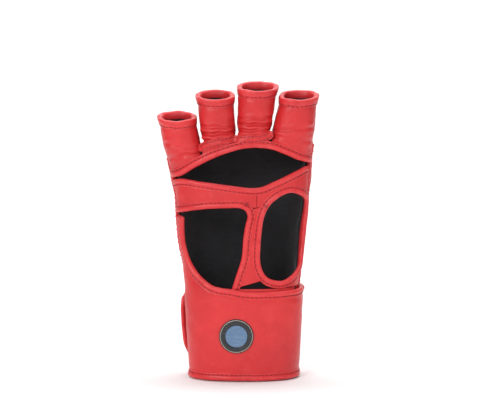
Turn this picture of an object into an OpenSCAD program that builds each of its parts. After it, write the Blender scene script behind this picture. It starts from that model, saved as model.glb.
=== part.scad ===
// Open-finger grappling glove for the right hand, standing on its cuff with the fingers up.
// The palm faces -Y, the thumb side is +X, +Z runs from the cuff to the finger loops.
// Every leather piece lies on one hand form, which is a stack of rounded sections.
// A place on the form is [angle, height]: angle 0 is the thumb side, 90 the back of the
// hand, 180 the little-finger side and 270 the palm. Depth d counts outwards from the form.

/* [Wrist] */
// Width of the hand space at the cuff's lower rim
wrist_w = 68; // [62:1:76]
// Width of the hand space at the cuff's upper edge
cuff_top_w = 74.4; // [68:0.2:82]
// Depth of the hand space inside the cuff, from palm to back
wrist_depth = 41; // [34:1:50]
// Height of the cuff and its strap
cuff_h = 64; // [53:1:77]
// Angle at which the wrist leather ends, leaving the slit for putting the glove on
slit_angle = 334; // [320:1:340]

/* [Hand] */
// Width across the four finger loops, measured at the middle knuckle
knuckle_w = 107; // [89:1:129]
// Depth of the hand space at the knuckles
knuckle_depth = 30; // [28:1:36]
// Height from the cuff's upper edge to the hinge line of the middle finger
palm_h = 104; // [86:1:125]
// How far the knuckles lean towards the little finger
lean = 4.2; // [0:0.2:6]

/* [Finger loops] */
// Depth of the space inside a finger loop
finger_depth = 23; // [20:1:26]
// Height of the little finger's loop above its hinge line
pinky_loop_h = 29; // [26:1:35]
// Height of the ring finger's loop above its hinge line
ring_loop_h = 35; // [30:1:42]
// Height of the middle finger's loop above its hinge line
middle_loop_h = 36; // [30:1:43]
// Height of the index finger's loop above its hinge line
index_loop_h = 35; // [30:1:42]
// How much higher a loop stands on the back of the finger
loop_rise = 5; // [2:0.5:7]
// Clear gap between neighbouring finger loops
finger_gap = 1.8; // [1.8:0.1:3]
// Height of the folded hem round a loop's mouth
hem_h = 5.6; // [4:0.2:7]

/* [Leather and padding] */
// Thickness of the outer leather
leather_t = 1.3; // [1:0.1:1.5]
// Thickness of the fabric lining of the hand
lining_t = 1.2; // [0.8:0.1:1.4]
// Thickness of one lip of a folded binding
lip_t = 0.7; // [0.5:0.1:0.8]
// Width of a folded binding
binding_w = 5; // [4:0.2:5.4]
// Greatest height of the knuckle bar
knuckle_pad_h = 13; // [10:0.5:16]
// Greatest height of the pads on the finger loops
finger_pad_h = 9; // [7:0.5:10]
// Greatest height of the pad on the back of the hand
back_pad_h = 6; // [4:0.5:8]

/* [Strap] */
// Thickness of the strap
strap_t = 1.4; // [1:0.1:1.6]
// Thickness of the hook tape and of the loop tape
tape_t = 0.9; // [0.6:0.1:1]
// Radius of the round badge on the strap
badge_r = 12.1; // [9:0.1:14]
// Thickness of the badge
badge_t = 1.4; // [1:0.1:2]

/* [Hidden] */

red = [0.80, 0.10, 0.13];
dark_red = [0.66, 0.06, 0.09];
black = [0.08, 0.08, 0.09];
foam_grey = [0.45, 0.45, 0.48];

// Clear space between two layers of leather
ply = 0.1;
// Clear space between the strap and what lies under it
strap_gap = 0.4;
// Roundness of the hand's sections and of the finger loops' sections
hand_n = 2.4;
finger_n = 2.6;
// Height of the middle finger's hinge line
knuckle_z = cuff_h + palm_h;

// Depths of the layers on the form
panel_lo = 0.2;
panel_hi = panel_lo + leather_t;
lip_in_hi = panel_lo - ply;
lip_in_lo = lip_in_hi - lip_t;
lip_out_lo = panel_hi + ply;
lip_out_hi = lip_out_lo + lip_t;
pad_lo = panel_hi + ply;
tape_lo = panel_hi + ply;
strap_lip_in = lip_out_hi + strap_gap;
strap_lo = strap_lip_in + lip_t + ply;
strap_hi = strap_lo + strap_t;
strap_lip_out = strap_hi + ply + lip_t;
tail_lift = max(0, tape_lo + 2 * tape_t + strap_gap + ply - strap_lo);

// Share of the widening from cuff to knuckles reached at each share of the palm's height
FLARE = [[0, 0], [0.15, 0.16], [0.3, 0.36], [0.49, 0.47], [0.64, 0.5], [0.74, 0.58],
  [0.86, 0.72], [0.97, 0.9], [1.07, 1]];
// The same for the sideways lean, and for the change from wrist depth to knuckle depth
LEAN = [[0, 0.07], [0.3, 0.28], [0.64, 0.28], [0.74, 0.48], [0.86, 0.71], [1.07, 1]];
THINNING = [[0, 0], [0.35, 0.28], [0.74, 0.7], [1.02, 1]];
// Share of the depth that lies on the palm's side of the form's middle plane
front_share = 0.51;

function mix(a, b, u) = a + (b - a) * u;
function palm_share(z) = max(0, (z - cuff_h) / palm_h);
// Lookup with its corners rounded off, so that layers of different fineness still nest
function soft_lookup(x, T) = let (reach = min(0.04, x))
  (lookup(x - reach, T) + lookup(x - reach / 2, T) + lookup(x, T)
    + lookup(x + reach / 2, T) + lookup(x + reach, T)) / 5;
function half_w(z) = z < cuff_h
  ? mix(wrist_w, cuff_top_w, z / cuff_h) / 2
  : mix(cuff_top_w, knuckle_w - 2, soft_lookup(palm_share(z), FLARE)) / 2;
function mid_x(z) = z < cuff_h ? 0 : -lean * soft_lookup(palm_share(z), LEAN);
function depth_at(z) = mix(wrist_depth, knuckle_depth, soft_lookup(palm_share(z), THINNING));
function half_d(z, t) = depth_at(z) * (sin(t) < 0 ? front_share : 1 - front_share);
// Radius of a unit section of roundness n at angle t
function unit_r(t, n) = pow(pow(abs(cos(t)), n) + pow(abs(sin(t)), n), -1 / n);
// Point on the hand form at angle t, height z and depth d, measured from the wrist's centre
function hand_point(t, z, d) = let (k = unit_r(t, hand_n))
  [mid_x(z) + (half_w(z) + d) * cos(t) * k, (half_d(z, t) + d) * sin(t) * k, z];
// The same point in the glove's own frame
function form(t, z, d) = hand_point(t, z, d) - centre;
// Millimetres along the form for one degree
function per_degree(t, z) = norm(form(t + 0.5, z, 1) - form(t - 0.5, z, 1));

// Smooth curve through the points P at share u of its length
function spline(P, u) = let (
    n = len(P) - 1,
    i = min(floor(u * n), n - 1),
    f = u * n - i,
    a = P[max(i - 1, 0)], b = P[i], c = P[i + 1], d = P[min(i + 2, n)])
  0.5 * (2 * b + (c - a) * f + (2 * a - 5 * b + 4 * c - d) * f * f
    + (3 * b - a - 3 * c + d) * f * f * f);
// A closed curve through the points P
function ring_spline(P, u) = let (
    n = len(P),
    i = floor(u * n) % n,
    f = u * n - floor(u * n),
    a = P[(i + n - 1) % n], b = P[i], c = P[(i + 1) % n], d = P[(i + 2) % n])
  0.5 * (2 * b + (c - a) * f + (2 * a - 5 * b + 4 * c - d) * f * f
    + (3 * b - a - 3 * c + d) * f * f * f);
// The place w millimetres to the left of p, when going along the form from a to b
function beside(p, a, b, w) = let (
    r = per_degree(p[0], p[1]),
    go = [(b[0] - a[0]) * r, b[1] - a[1]],
    len_go = norm(go))
  [p[0] - w * go[1] / len_go / r, p[1] + w * go[0] / len_go];
function steps(n) = [for (i = [0:n]) i / n];
// Height at a percentage of the palm's height
function up(percent) = cuff_h + percent * palm_h / 100;
function placed(P) = [for (p = P) [p[0], up(p[1])]];
function reversed(P) = [for (i = [len(P) - 1:-1:0]) P[i]];

// Outlines on the form as [angle, percentage of the palm's height]
PALM_SEAM = 184;
THUMB_SEAM = 356;
// Lower edge of the band across the finger roots
ARCH = placed([[PALM_SEAM, 74.5], [214, 77], [236, 84], [252, 90], [266, 94], [277, 96],
  [287, 96.2], [296, 95], [308, 91.5], [321, 87.8], [338, 85.8], [THUMB_SEAM, 85]]);
// Upper edge of the strap across the palm, from the little-finger side to the thumb side
CROSS_TOP = placed([[PALM_SEAM + 1, 73], [213, 75], [233, 73.8], [248, 72.3], [266, 70.5],
  [279, 69.3], [288, 70.2], [298, 73.4], [313, 78.2], [322, 80.4], [334, 82.7], [343, 83.2]]);
// Edge of the opening below that strap, along its top and down the centre bar
CROSS_LOW = placed([[PALM_SEAM + 1, 51], [210, 52.3], [236, 54.8], [255, 55.7], [267, 55.8]]);
OPENING = concat(CROSS_LOW, placed([[273, 54], [275, 50], [273, 44], [271, 34], [270, 24],
  [267, 17], [262, 8], [258, 1.6]]));
// Edge of the thumb hole, clockwise as seen from outside
THUMB_HOLE = placed([[342, 14.3], [326, 9.5], [314, 6.6], [305, 6.6], [296, 8.6], [290, 13.3],
  [287, 21], [287, 31.5], [288, 42.5], [290, 51], [294, 57], [300.6, 61.8], [308, 64.8],
  [316, 65.6], [326, 64.2], [338, 61.5], [350, 58], [360, 52.5], [366, 45], [368, 36], [366, 27],
  [360, 20.5], [352, 16.5]]);
// Edge of the strip that runs up the little-finger side, from the cuff to the cross strap
SIDE = placed([[256, 1.6], [248, 2.4], [238, 4.6], [226, 10.5], [214, 19], [208, 28], [207, 36],
  [208.5, 45], [210, 49]]);
// Angle of the back panel's edge beside the thumb hole, by percentage of the palm's height
THUMB_SIDE = [[12, -3], [16, -0.5], [20, 6.5], [27, 12], [36, 14], [45, 12], [52, 6.5],
  [60, -1], [64, -3]];
// Height of the palm pieces' lower edge, just above the cuff
palm_foot = up(1.6);

// Fingers: 0 little, 1 ring, 2 middle, 3 index
// Share of the knuckle width that each finger takes
FINGER_SHARE = [0.261, 0.232, 0.217, 0.29];
// Distance of each finger's hinge line below the middle finger's
HINGE_DROP = [14, 5, 0, 5];
// Sideways slope of the lines between the fingers
FAN = [-0.22, -0.15, -0.01, 0.19, 0.14];
LOOP_H = [pinky_loop_h, ring_loop_h, middle_loop_h, index_loop_h];
// Heights, above the hinge line, of the hand's leather, of the crease and of the loop's lower edge
hand_top = 4.5;
crease_lo = 4.8;
crease_hi = 11.7;
loop_lo = 12;
// Depth of the loops' centre plane
finger_y = -3;
finger_lining_t = 0.6;
finger_leather_lo = finger_lining_t + ply;
finger_leather_hi = finger_leather_lo + leather_t;
hem_out_lo = finger_leather_hi + ply;
hem_out_hi = hem_out_lo + lip_t;

function sum_to(V, n) = n == 0 ? 0 : V[n - 1] + sum_to(V, n - 1);
function hinge_z(i) = knuckle_z - HINGE_DROP[i];
function finger_line(k, z) =
  -lean + knuckle_w * (sum_to(FINGER_SHARE, k) - 0.5) + FAN[k] * (z - knuckle_z);
function finger_left(i, z) = finger_line(i, z) + finger_gap / 2;
function finger_right(i, z) = finger_line(i + 1, z) - finger_gap / 2;
function rim_z(i, t) = hinge_z(i) + LOOP_H[i] + loop_rise * (1 + sin(t)) / 2;
// Point on a finger's form. Spread s, from 0 to 1, opens it towards the hand's own depth
function finger_form(i, t, z, d, s = 0) = let (
    k = unit_r(t, finger_n),
    below_hem = (hinge_z(i) + LOOP_H[i] - hem_h - z) / (LOOP_H[i] - hem_h - loop_lo),
    wall = mix(hem_out_hi, finger_leather_hi, max(0, min(1, below_hem))),
    l = finger_left(i, z) + wall,
    r = finger_right(i, z) - wall,
    y = mix(finger_y, 0, s),
    b = mix(finger_depth, knuckle_depth, s) / 2)
  [(l + r) / 2 + ((r - l) / 2 + d) * cos(t) * k, y + (b + d) * sin(t) * k, z] - centre;
// Upper edge of the hand's leather below the fingers, at angle t
function hand_rim(t) = let (
    x = hand_point(t, knuckle_z, 1)[0],
    side = 1.5,
    over = [for (i = [0:3]) if (x > finger_line(i, hinge_z(i)) - (i == 0 ? 50 : side)
      && x < finger_line(i + 1, hinge_z(i)) + (i == 3 ? 50 : side)) hinge_z(i)])
  min(over) + hand_top;

// Solid between two grids of points, lo and hi, whose rows run along +angle
module plate(lo, hi) {
  n = len(lo);
  m = len(lo[0]);
  at = function (k, i, j) (k * n + i) * m + j;
  top = [for (i = [0:n - 2], j = [0:m - 2], f = [
    [at(1, i, j), at(1, i + 1, j + 1), at(1, i + 1, j)],
    [at(1, i, j), at(1, i, j + 1), at(1, i + 1, j + 1)]]) f];
  bottom = [for (i = [0:n - 2], j = [0:m - 2], f = [
    [at(0, i, j), at(0, i + 1, j), at(0, i + 1, j + 1)],
    [at(0, i, j), at(0, i + 1, j + 1), at(0, i, j + 1)]]) f];
  ends = [for (j = [0:m - 2], f = [
    [at(0, 0, j), at(0, 0, j + 1), at(1, 0, j + 1), at(1, 0, j)],
    [at(0, n - 1, j + 1), at(0, n - 1, j), at(1, n - 1, j), at(1, n - 1, j + 1)]]) f];
  sides = [for (i = [0:n - 2], f = [
    [at(0, i + 1, 0), at(0, i, 0), at(1, i, 0), at(1, i + 1, 0)],
    [at(0, i, m - 1), at(0, i + 1, m - 1), at(1, i + 1, m - 1), at(1, i, m - 1)]]) f];
  quads = concat(ends, sides);
  split = [for (q = quads, f = [[q[0], q[1], q[2]], [q[0], q[2], q[3]]]) f];
  polyhedron([for (g = [lo, hi], row = g, p = row) p], concat(top, bottom, split));
}

// Panel on the hand form between the curves low(u) and high(u), each giving [angle, height]
module panel(low, high, lo, hi, nu, nv) {
  place = function (u, v) mix(low(u), high(u), v);
  layer = function (d) [for (u = steps(nu)) [for (v = steps(nv))
    let (p = place(u, v)) form(p[0], p[1], d)]];
  plate(layer(lo), layer(hi));
}

// Closed sleeve from a function point(t, j, k): angle, height step j and layer k (0 in, 1 out)
module sleeve(point, nt, nj) {
  at = function (k, i, j) (k * nt + i % nt) * (nj + 1) + j;
  pts = [for (k = [0, 1], i = [0:nt - 1], j = [0:nj]) point(i * 360 / nt, j, k)];
  walls = [for (i = [0:nt - 1], j = [0:nj - 1], f = [
    [at(1, i, j), at(1, i + 1, j + 1), at(1, i + 1, j)],
    [at(1, i, j), at(1, i, j + 1), at(1, i + 1, j + 1)],
    [at(0, i, j), at(0, i + 1, j), at(0, i + 1, j + 1)],
    [at(0, i, j), at(0, i + 1, j + 1), at(0, i, j + 1)]]) f];
  rims = [for (i = [0:nt - 1], f = [
    [at(0, i + 1, 0), at(0, i, 0), at(1, i, 0)],
    [at(0, i + 1, 0), at(1, i, 0), at(1, i + 1, 0)],
    [at(0, i, nj), at(0, i + 1, nj), at(1, i + 1, nj)],
    [at(0, i, nj), at(1, i + 1, nj), at(1, i, nj)]]) f];
  polyhedron(pts, concat(walls, rims));
}

// Folded binding: a U in section, swept along stations that each hold its eight points.
// The eight points start at the fold's inner corner and go round the U.
module binding_sweep(rings, closed) {
  n = len(rings);
  last = closed ? n - 1 : n - 2;
  at = function (i, j) (i % n) * 8 + j % 8;
  walls = [for (i = [0:last], j = [0:7], f = [
    [at(i, j), at(i + 1, j), at(i + 1, j + 1)],
    [at(i, j), at(i + 1, j + 1), at(i, j + 1)]]) f];
  U = [[0, 1, 2], [0, 2, 3], [0, 3, 4], [0, 4, 7], [4, 5, 6], [4, 6, 7]];
  caps = closed ? []
    : [for (f = U, g = [f, [at(n - 1, f[2]), at(n - 1, f[1]), at(n - 1, f[0])]]) g];
  polyhedron([for (r = rings, p = r) p], concat(walls, caps));
}

// The eight [w, d] points of the U: w across the binding, d through the leather
function u_profile(w, in_lo, in_hi, out_lo, out_hi) = [[0, in_lo], [w, in_lo], [w, in_hi],
  [lip_t, in_hi], [lip_t, out_lo], [w, out_lo], [w, out_hi], [0, out_hi]];
hand_profile = u_profile(binding_w, lip_in_lo, lip_in_hi, lip_out_lo, lip_out_hi);
// More room under the outer lip, for bindings that turn over the rounded sides of the hand
side_room = 0.22;
side_profile = u_profile(binding_w, lip_in_lo, lip_in_hi, lip_out_lo + side_room,
  lip_out_hi + side_room);
// Distance from a bound edge to the leather inside the fold, at least and as cut
fold = lip_t + ply;
tuck = fold + 0.3;

// Binding along curve(u), where the bound leather lies to the left of the curve.
// lift(t) raises it off the form at angle t
module binding(curve, n, profile = hand_profile, closed = false, lift = function (t) 0) {
  e = 0.002;
  us = [for (i = [0:closed ? n - 1 : n]) i / n];
  rings = [for (u = us) let (
      before = closed ? curve(u + 1 - e) : curve(max(0, u - e)),
      after = closed ? curve(u + e) : curve(min(1, u + e)),
      p = curve(u))
    [for (q = profile) let (s = beside(p, before, after, q[0]))
      form(s[0], s[1], q[1] + lift(s[0]))]];
  binding_sweep(rings, closed);
}

// Points at a distance w to the left of a curve
function offset_curve(curve, w) = function (u) let (e = 0.002)
  beside(curve(u), curve(max(0, u - e)), curve(min(1, u + e)), w);
function part_of(curve, a, b) = function (u) curve(mix(a, b, u));

arch = function (u) spline(ARCH, u);
cross_top = function (u) spline(reversed(CROSS_TOP), u);
opening = function (u) spline(OPENING, u);
thumb_hole = function (u) ring_spline(THUMB_HOLE, u);
side = function (u) spline(SIDE, u);
// Where leather is cut beside the thumb hole, near the hole's outline point k
function hole_side(k) = let (e = 0.002, u = 1 + k / len(THUMB_HOLE))
  beside(thumb_hole(u), thumb_hole(u - e), thumb_hole(u + e), tuck);

// Height of a curve's point at angle t, for curves whose angle grows with u
function height_on(P, t) = lookup(t, [for (u = steps(60)) spline(P, u)]);

/* Padding: a cover of leather that is open below, and the foam inside it */
// Height share of a cushion at share s across it
function crown(s) = sqrt(max(0, 1 - pow(abs(2 * s - 1), 4)));

// The cover spans the grid point(u, v, d); the foam spans the same grid without its border
module pad_cover(point, rise, nu, nv) {
  h = function (u, v) leather_t + rise(u, v);
  plate([for (u = steps(nu)) [for (v = steps(nv)) point(u, v, rise(u, v))]],
    [for (u = steps(nu)) [for (v = steps(nv)) point(u, v, h(u, v))]]);
}
module pad_foam(point, rise, nu, nv) {
  us = [for (i = [1:nu - 1]) i / nu];
  vs = [for (i = [1:nv - 1]) i / nv];
  plate([for (u = us) [for (v = vs) point(u, v, 0)]],
    [for (u = us) [for (v = vs) point(u, v, rise(u, v) - 2 * ply)]]);
}

/* Back of the hand */
back_seam = 183;
// Millimetres along the form for one degree, at the sides of the hand
side_degree = 0.35;
function back_edge(z) = lookup(palm_share(z) * 100, THUMB_SIDE);
// Heights of the back's rows of points as percentages of the palm's height, closest beside
// the thumb hole; two rows lie below them in the cuff, and three run from the last of them
// to the hand's upper edge
BACK_ROWS = [0, 13, 21, 29, 36, 43, 50, 57, 65, 75];
function back_heights(u, inset) = let (rim = hand_rim(mix(back_edge(0), back_seam, u)) - inset,
    last = up(BACK_ROWS[len(BACK_ROWS) - 1]))
  concat([inset, cuff_h / 3, cuff_h * 2 / 3], [for (row = BACK_ROWS) up(row)],
    [for (v = [1:3]) mix(last, rim, v / 3)]);
function back_grid(inset, d, nu) = let (slack = inset / side_degree)
  [for (u = steps(nu)) [for (z = back_heights(u, inset))
    form(mix(back_edge(z) + slack, back_seam - slack, u), z, d)]];
module back_panel() {
  color(red) plate(back_grid(fold, panel_lo, 26), back_grid(fold, panel_hi, 26));
}
module back_lining() {
  inset = binding_w + 1;
  color(black) plate(back_grid(inset, panel_lo - ply - lining_t, 16),
    back_grid(inset, panel_lo - ply, 16));
}

// Knuckle bar across the back of the hand, with a groove between the knuckles.
// Its lower edge is given as a percentage of the palm's height
knuckle_bar_lo = 56;
// The bar's upper edge at x stays below the creases of both fingers at each line between them
function bar_top(x) = lookup(x, concat(
  [for (i = [0:3], p = [
    [(finger_line(i, knuckle_z) + finger_line(i + 1, knuckle_z)) / 2, hinge_z(i) + 3],
    [finger_line(i + 1, knuckle_z), min(hinge_z(i), hinge_z(min(3, i + 1))) + 4]]) p]));
function bar_point(u, v, d) = let (
    t = mix(17, 163, u),
    z = mix(up(knuckle_bar_lo), bar_top(hand_point(t, knuckle_z, 1)[0]), v))
  hand_point(t, z, pad_lo + d);
function groove(u) = let (x = bar_point(u, 0.5, 0)[0],
    gaps = [for (k = [1:3]) abs(x - finger_line(k, up(80)))])
  min(1, 0.55 + min(gaps) / 12);
bar_rise = function (u, v) (knuckle_pad_h - leather_t) * crown(u) * crown(v) * groove(u);
bar_grid = function (u, v, d) bar_point(u, v, d) - centre;
module knuckle_bar_cover() { color(red) pad_cover(bar_grid, bar_rise, 30, 8); }
module knuckle_bar_foam() { color(foam_grey) pad_foam(bar_grid, bar_rise, 30, 8); }

// Thin pad between the knuckle bar and the cuff
back_pad_grid = function (u, v, d) form(mix(45, 135, u), mix(up(12), up(52), v), pad_lo + d);
back_pad_rise = function (u, v) (back_pad_h - leather_t) * crown(u) * crown(v);
module back_pad_cover() { color(red) pad_cover(back_pad_grid, back_pad_rise, 12, 8); }
module back_pad_foam() { color(foam_grey) pad_foam(back_pad_grid, back_pad_rise, 12, 8); }

/* Palm */
band_low = offset_curve(arch, tuck);
band_high = function (u) let (t = band_low(u)[0]) [t, hand_rim(t)];
module palm_band() { color(red) panel(band_low, band_high, panel_lo, panel_hi, 44, 3); }
// The band's lining lies under the binding's inner lip
module palm_band_lining() {
  low = part_of(offset_curve(arch, tuck), 0.06, 0.94);
  high = function (u) let (p = low(u)) [p[0], max(p[1] + 1, hand_rim(p[0]) - hand_top)];
  color(black) panel(low, high, lip_in_lo - ply - lining_t, lip_in_lo - ply, 30, 2);
}
// Strip sewn over the band at the roots of the ring and middle fingers
patch_angle = function (u) mix(252, 286, u);
module palm_band_patch() {
  low = function (u) let (t = patch_angle(u)) [t, height_on(ARCH, t) + binding_w + 0.6];
  high = function (u) let (t = patch_angle(u))
    [t, min(hand_rim(t) - 0.3, height_on(ARCH, t) + 2 * binding_w + 1)];
  color(red) panel(low, high, lip_out_lo, lip_out_hi, 18, 2);
}
module palm_band_binding() { color(dark_red) binding(arch, 40); }

// Angle at which the cross strap, the thumb web and the centre bar meet
meet = 283;
module cross_strap() {
  angle = function (u) mix(PALM_SEAM + 1, meet, u);
  low = function (u) [angle(u), height_on(CROSS_LOW, min(angle(u), 267)) + tuck];
  high = function (u) [angle(u), height_on(CROSS_TOP, angle(u)) - tuck];
  color(red) panel(low, high, panel_lo, panel_hi, 20, 3);
}
module cross_strap_binding() { color(dark_red) binding(cross_top, 36); }
module palm_opening_binding() { color(dark_red) binding(opening, 40); }
module thumb_binding() { color(dark_red) binding(thumb_hole, 46, side_profile, closed = true); }
// The web lies between the thumb hole and the cross strap's upper edge. Its lower edge runs
// over the bar's end first, and then round the hole.
module thumb_web() {
  top = up(83.2);
  corner = [meet + 0.5, up(56.5)];
  over_bar = 0.2;
  low = function (u) let (q = hole_side(mix(10.2, 16.4, max(0, u - over_bar) / (1 - over_bar))))
    u < over_bar ? mix(corner, q, u / over_bar) : [min(THUMB_SEAM, q[0]), q[1]];
  high = function (u) let (t = mix(meet + 0.5, THUMB_SEAM, u))
    [t, (t < 343 ? min(top, height_on(CROSS_TOP, t)) : top) - tuck];
  color(red) panel(low, high, panel_lo, panel_hi, 20, 5);
}
// The bar lies between the lower opening's edge and the thumb hole
module centre_bar() {
  low = part_of(offset_curve(opening, tuck), 5 / 12, 1);
  high = function (u) let (q = hole_side(mix(10, 3.9, u)))
    [min(q[0], meet + 12), max(q[1], palm_foot)];
  color(red) panel(low, high, panel_lo, panel_hi, 18, 3);
}
module thumb_base() {
  low = function (u) [mix(302, THUMB_SEAM, u), palm_foot];
  high = function (u) let (q = hole_side(mix(3.2, -0.8, u)))
    [min(THUMB_SEAM, q[0]), max(q[1], up(3))];
  color(red) panel(low, high, panel_lo, panel_hi, 12, 2);
}
module side_strip() {
  edge = part_of(offset_curve(side, tuck), 1, 0.14);
  color(red) panel(function (u) [PALM_SEAM, mix(up(49), palm_foot, u)], edge,
    panel_lo, panel_hi, 16, 7);
}
module side_strip_binding() { color(dark_red) binding(side, 22, side_profile); }

/* Wrist */
// The wrist leather ends below the palm pieces, at the cuff's upper edge
module wrist_band() {
  color(red) panel(function (u) [mix(PALM_SEAM, slit_angle, u), fold],
    function (u) [mix(PALM_SEAM, slit_angle, u), up(1.2)], panel_lo, panel_hi, 22, 3);
}
module wrist_lining() {
  color(black) panel(function (u) [mix(PALM_SEAM + 3, slit_angle - 3, u), binding_w + 1],
    function (u) [mix(PALM_SEAM + 3, slit_angle - 3, u), cuff_h - 4],
    panel_lo - ply - lining_t, panel_lo - ply, 20, 2);
}
module cuff_rim_binding() {
  color(dark_red) binding(function (u) [mix(-2.5, slit_angle, u), 0], 46);
}
module loop_tape() {
  angle = function (u) mix(42, 150, u);
  color(black) panel(function (u) [angle(u), cuff_h * 0.22], function (u) [angle(u), cuff_h * 0.8],
    tape_lo, tape_lo + tape_t, 16, 3);
}

/* Strap */
// Angles at which the strap's front starts and ends; the tail starts just past its end
strap_start = 195;
strap_end = 358;
strap_profile = u_profile(binding_w, strap_lip_in, strap_lo - ply, strap_hi + ply, strap_lip_out);
strap_foot = 0.6;
strap_head = function (t) cuff_h + 1.2 * (1 - cos(t - 270)) - 0.4;
strap_angle = function (u) mix(strap_start, strap_end, u);
module strap_front() {
  color(red) panel(function (u) [strap_angle(u), strap_foot + fold],
    function (u) [strap_angle(u), strap_head(strap_angle(u)) - fold], strap_lo, strap_hi, 26, 4);
}
module strap_front_bottom_binding() {
  color(dark_red) binding(function (u) [strap_angle(u), strap_foot], 26, strap_profile);
}
module strap_front_top_binding() {
  color(dark_red) binding(function (u) let (t = strap_angle(1 - u)) [t, strap_head(t)],
    26, strap_profile);
}
// The badge is round and flat, and stands on the strap's front
badge_z = cuff_h * 0.51;
badge_place = [-5, -(half_d(badge_z, 270) + strap_hi + 0.25), badge_z];
// Centre of the whole glove's outline, which becomes the frame's origin
centre = [
  (finger_left(0, rim_z(0, 90)) + finger_right(3, rim_z(3, 90))) / 2,
  (max([for (u = steps(30)) bar_point(u, 0.2, leather_t + bar_rise(u, 0.5))[1]])
    + badge_place[1] - badge_t) / 2,
  0];

module badge_base() {
  color(black) translate(badge_place - centre) rotate([90, 0, 0])
    difference() {
      cylinder(r = badge_r, h = badge_t, $fn = 64);
      translate([0, 0, badge_t * 0.55]) cylinder(r = badge_r * 0.62, h = badge_t, $fn = 64);
    }
}
module badge_inlay() {
  color([0.85, 0.85, 0.87]) translate(badge_place - centre) rotate([90, 0, 0])
    translate([0, 0, badge_t * 0.55 + 0.05])
      cylinder(r = badge_r * 0.62 - 0.1, h = badge_t * 0.35, $fn = 64);
}
// The tail crosses the back of the cuff and narrows to a lifted tab
tail_start = strap_end - 356;
tail_end = 179;
tail_narrowing = function (t) pow(max(0, t - 120) / (tail_end - 120), 2);
tail_foot = function (t) mix(strap_foot, cuff_h * 0.4, tail_narrowing(t));
tail_head = function (t) mix(strap_head(t), cuff_h * 0.84, tail_narrowing(t));
tab_lift = 2.6;
tail_grow = function (t) tail_lift * min(1, max(0, t - tail_start) / 30)
  + tab_lift * pow(max(0, t - 155) / (tail_end - 155), 2);
// Angles of the outline's points on the foot, and the same again on the head
TAIL_T = [tail_start, 20, 38, 56, 74, 92, 110, 128, 144, 158, 168, 175];
TAIL = concat([for (t = TAIL_T) [t, tail_foot(t)]],
  [for (s = [0.25, 0.5, 0.75])
    [tail_end + (s == 0.5 ? 0.6 : 0), mix(tail_foot(tail_end), tail_head(tail_end), s)]],
  [for (t = reversed(TAIL_T)) [t, tail_head(t)]]);
tail_edge = function (u) spline(TAIL, u);
module strap_tail() {
  inner = offset_curve(tail_edge, fold);
  reach = 24 / 52;
  grid = function (d) [for (u = steps(24)) [for (v = steps(5))
    let (p = mix(inner(u * reach), inner(1 - u * reach), v)) form(p[0], p[1], d + tail_grow(p[0]))]];
  color(red) plate(grid(strap_lo), grid(strap_hi));
}
// The tail's binding goes along its foot, round the tab and back along its head
module strap_tail_binding() {
  color(dark_red) binding(tail_edge, 52, strap_profile, lift = tail_grow);
}
module hook_tape() {
  top = strap_lo + tail_lift - ply;
  grid = function (d) [for (u = steps(12)) [for (v = [0.25, 0.5, 0.75])
    form(mix(70, 140, u), cuff_h * v, d)]];
  color(black) plate(grid(top - tape_t), grid(top));
}

/* Finger loops */
loop_sides = 24;
module finger_crease(i) {
  point = function (t, j, k) let (v = j / 2)
    finger_form(i, t, hinge_z(i) + mix(crease_lo, crease_hi, v),
      k == 0 ? finger_leather_lo : finger_leather_hi, 1 - v);
  color(dark_red) sleeve(point, loop_sides, 2);
}
module finger_loop(i) {
  point = function (t, j, k) finger_form(i, t, mix(hinge_z(i) + loop_lo, rim_z(i, t) - fold, j / 3),
    k == 0 ? finger_leather_lo : finger_leather_hi);
  color(red) sleeve(point, loop_sides, 3);
}
module finger_lining(i) {
  point = function (t, j, k) finger_form(i, t, mix(hinge_z(i) + loop_lo, rim_z(i, t) - hem_h - 0.4, j),
    k * finger_lining_t);
  color(black) sleeve(point, loop_sides, 1);
}
module finger_hem(i) {
  profile = u_profile(hem_h, finger_leather_lo - ply - lip_t, finger_leather_lo - ply,
    hem_out_lo, hem_out_hi);
  rings = [for (s = [loop_sides:-1:1]) let (t = s * 360 / loop_sides)
    [for (q = profile) finger_form(i, t, rim_z(i, t) - q[0], q[1])]];
  color(dark_red) binding_sweep(rings, true);
}
// Pad on the back of a finger loop
function pad_point(i, u, v, d) = let (
    t = mix(48, 132, u),
    low = hinge_z(i) + loop_lo + 0.6,
    high = rim_z(i, 90) - hem_h - 0.6)
  finger_form(i, t, mix(low, high, v), finger_leather_hi + ply) + [0, d, 0];
pad_rise = function (u, v) (finger_pad_h - leather_t) * crown(u) * crown(v);
module finger_pad_cover(i) {
  color(red) pad_cover(function (u, v, d) pad_point(i, u, v, d), pad_rise, 10, 8);
}
module finger_pad_foam(i) {
  color(foam_grey) pad_foam(function (u, v, d) pad_point(i, u, v, d), pad_rise, 10, 8);
}

back_panel();
back_lining();
back_pad_cover();
back_pad_foam();
knuckle_bar_cover();
knuckle_bar_foam();
palm_band();
palm_band_lining();
palm_band_patch();
palm_band_binding();
cross_strap();
cross_strap_binding();
palm_opening_binding();
centre_bar();
thumb_binding();
thumb_web();
thumb_base();
side_strip();
side_strip_binding();
wrist_band();
wrist_lining();
cuff_rim_binding();
loop_tape();
finger_crease(0);  // pinky_crease
finger_crease(1);  // ring_crease
finger_crease(2);  // middle_crease
finger_crease(3);  // index_crease
finger_loop(0);  // pinky_loop
finger_loop(1);  // ring_loop
finger_loop(2);  // middle_loop
finger_loop(3);  // index_loop
finger_lining(0);  // pinky_lining
finger_lining(1);  // ring_lining
finger_lining(2);  // middle_lining
finger_lining(3);  // index_lining
finger_hem(0);  // pinky_hem
finger_hem(1);  // ring_hem
finger_hem(2);  // middle_hem
finger_hem(3);  // index_hem
finger_pad_cover(0);  // pinky_pad_cover
finger_pad_cover(1);  // ring_pad_cover
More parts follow.
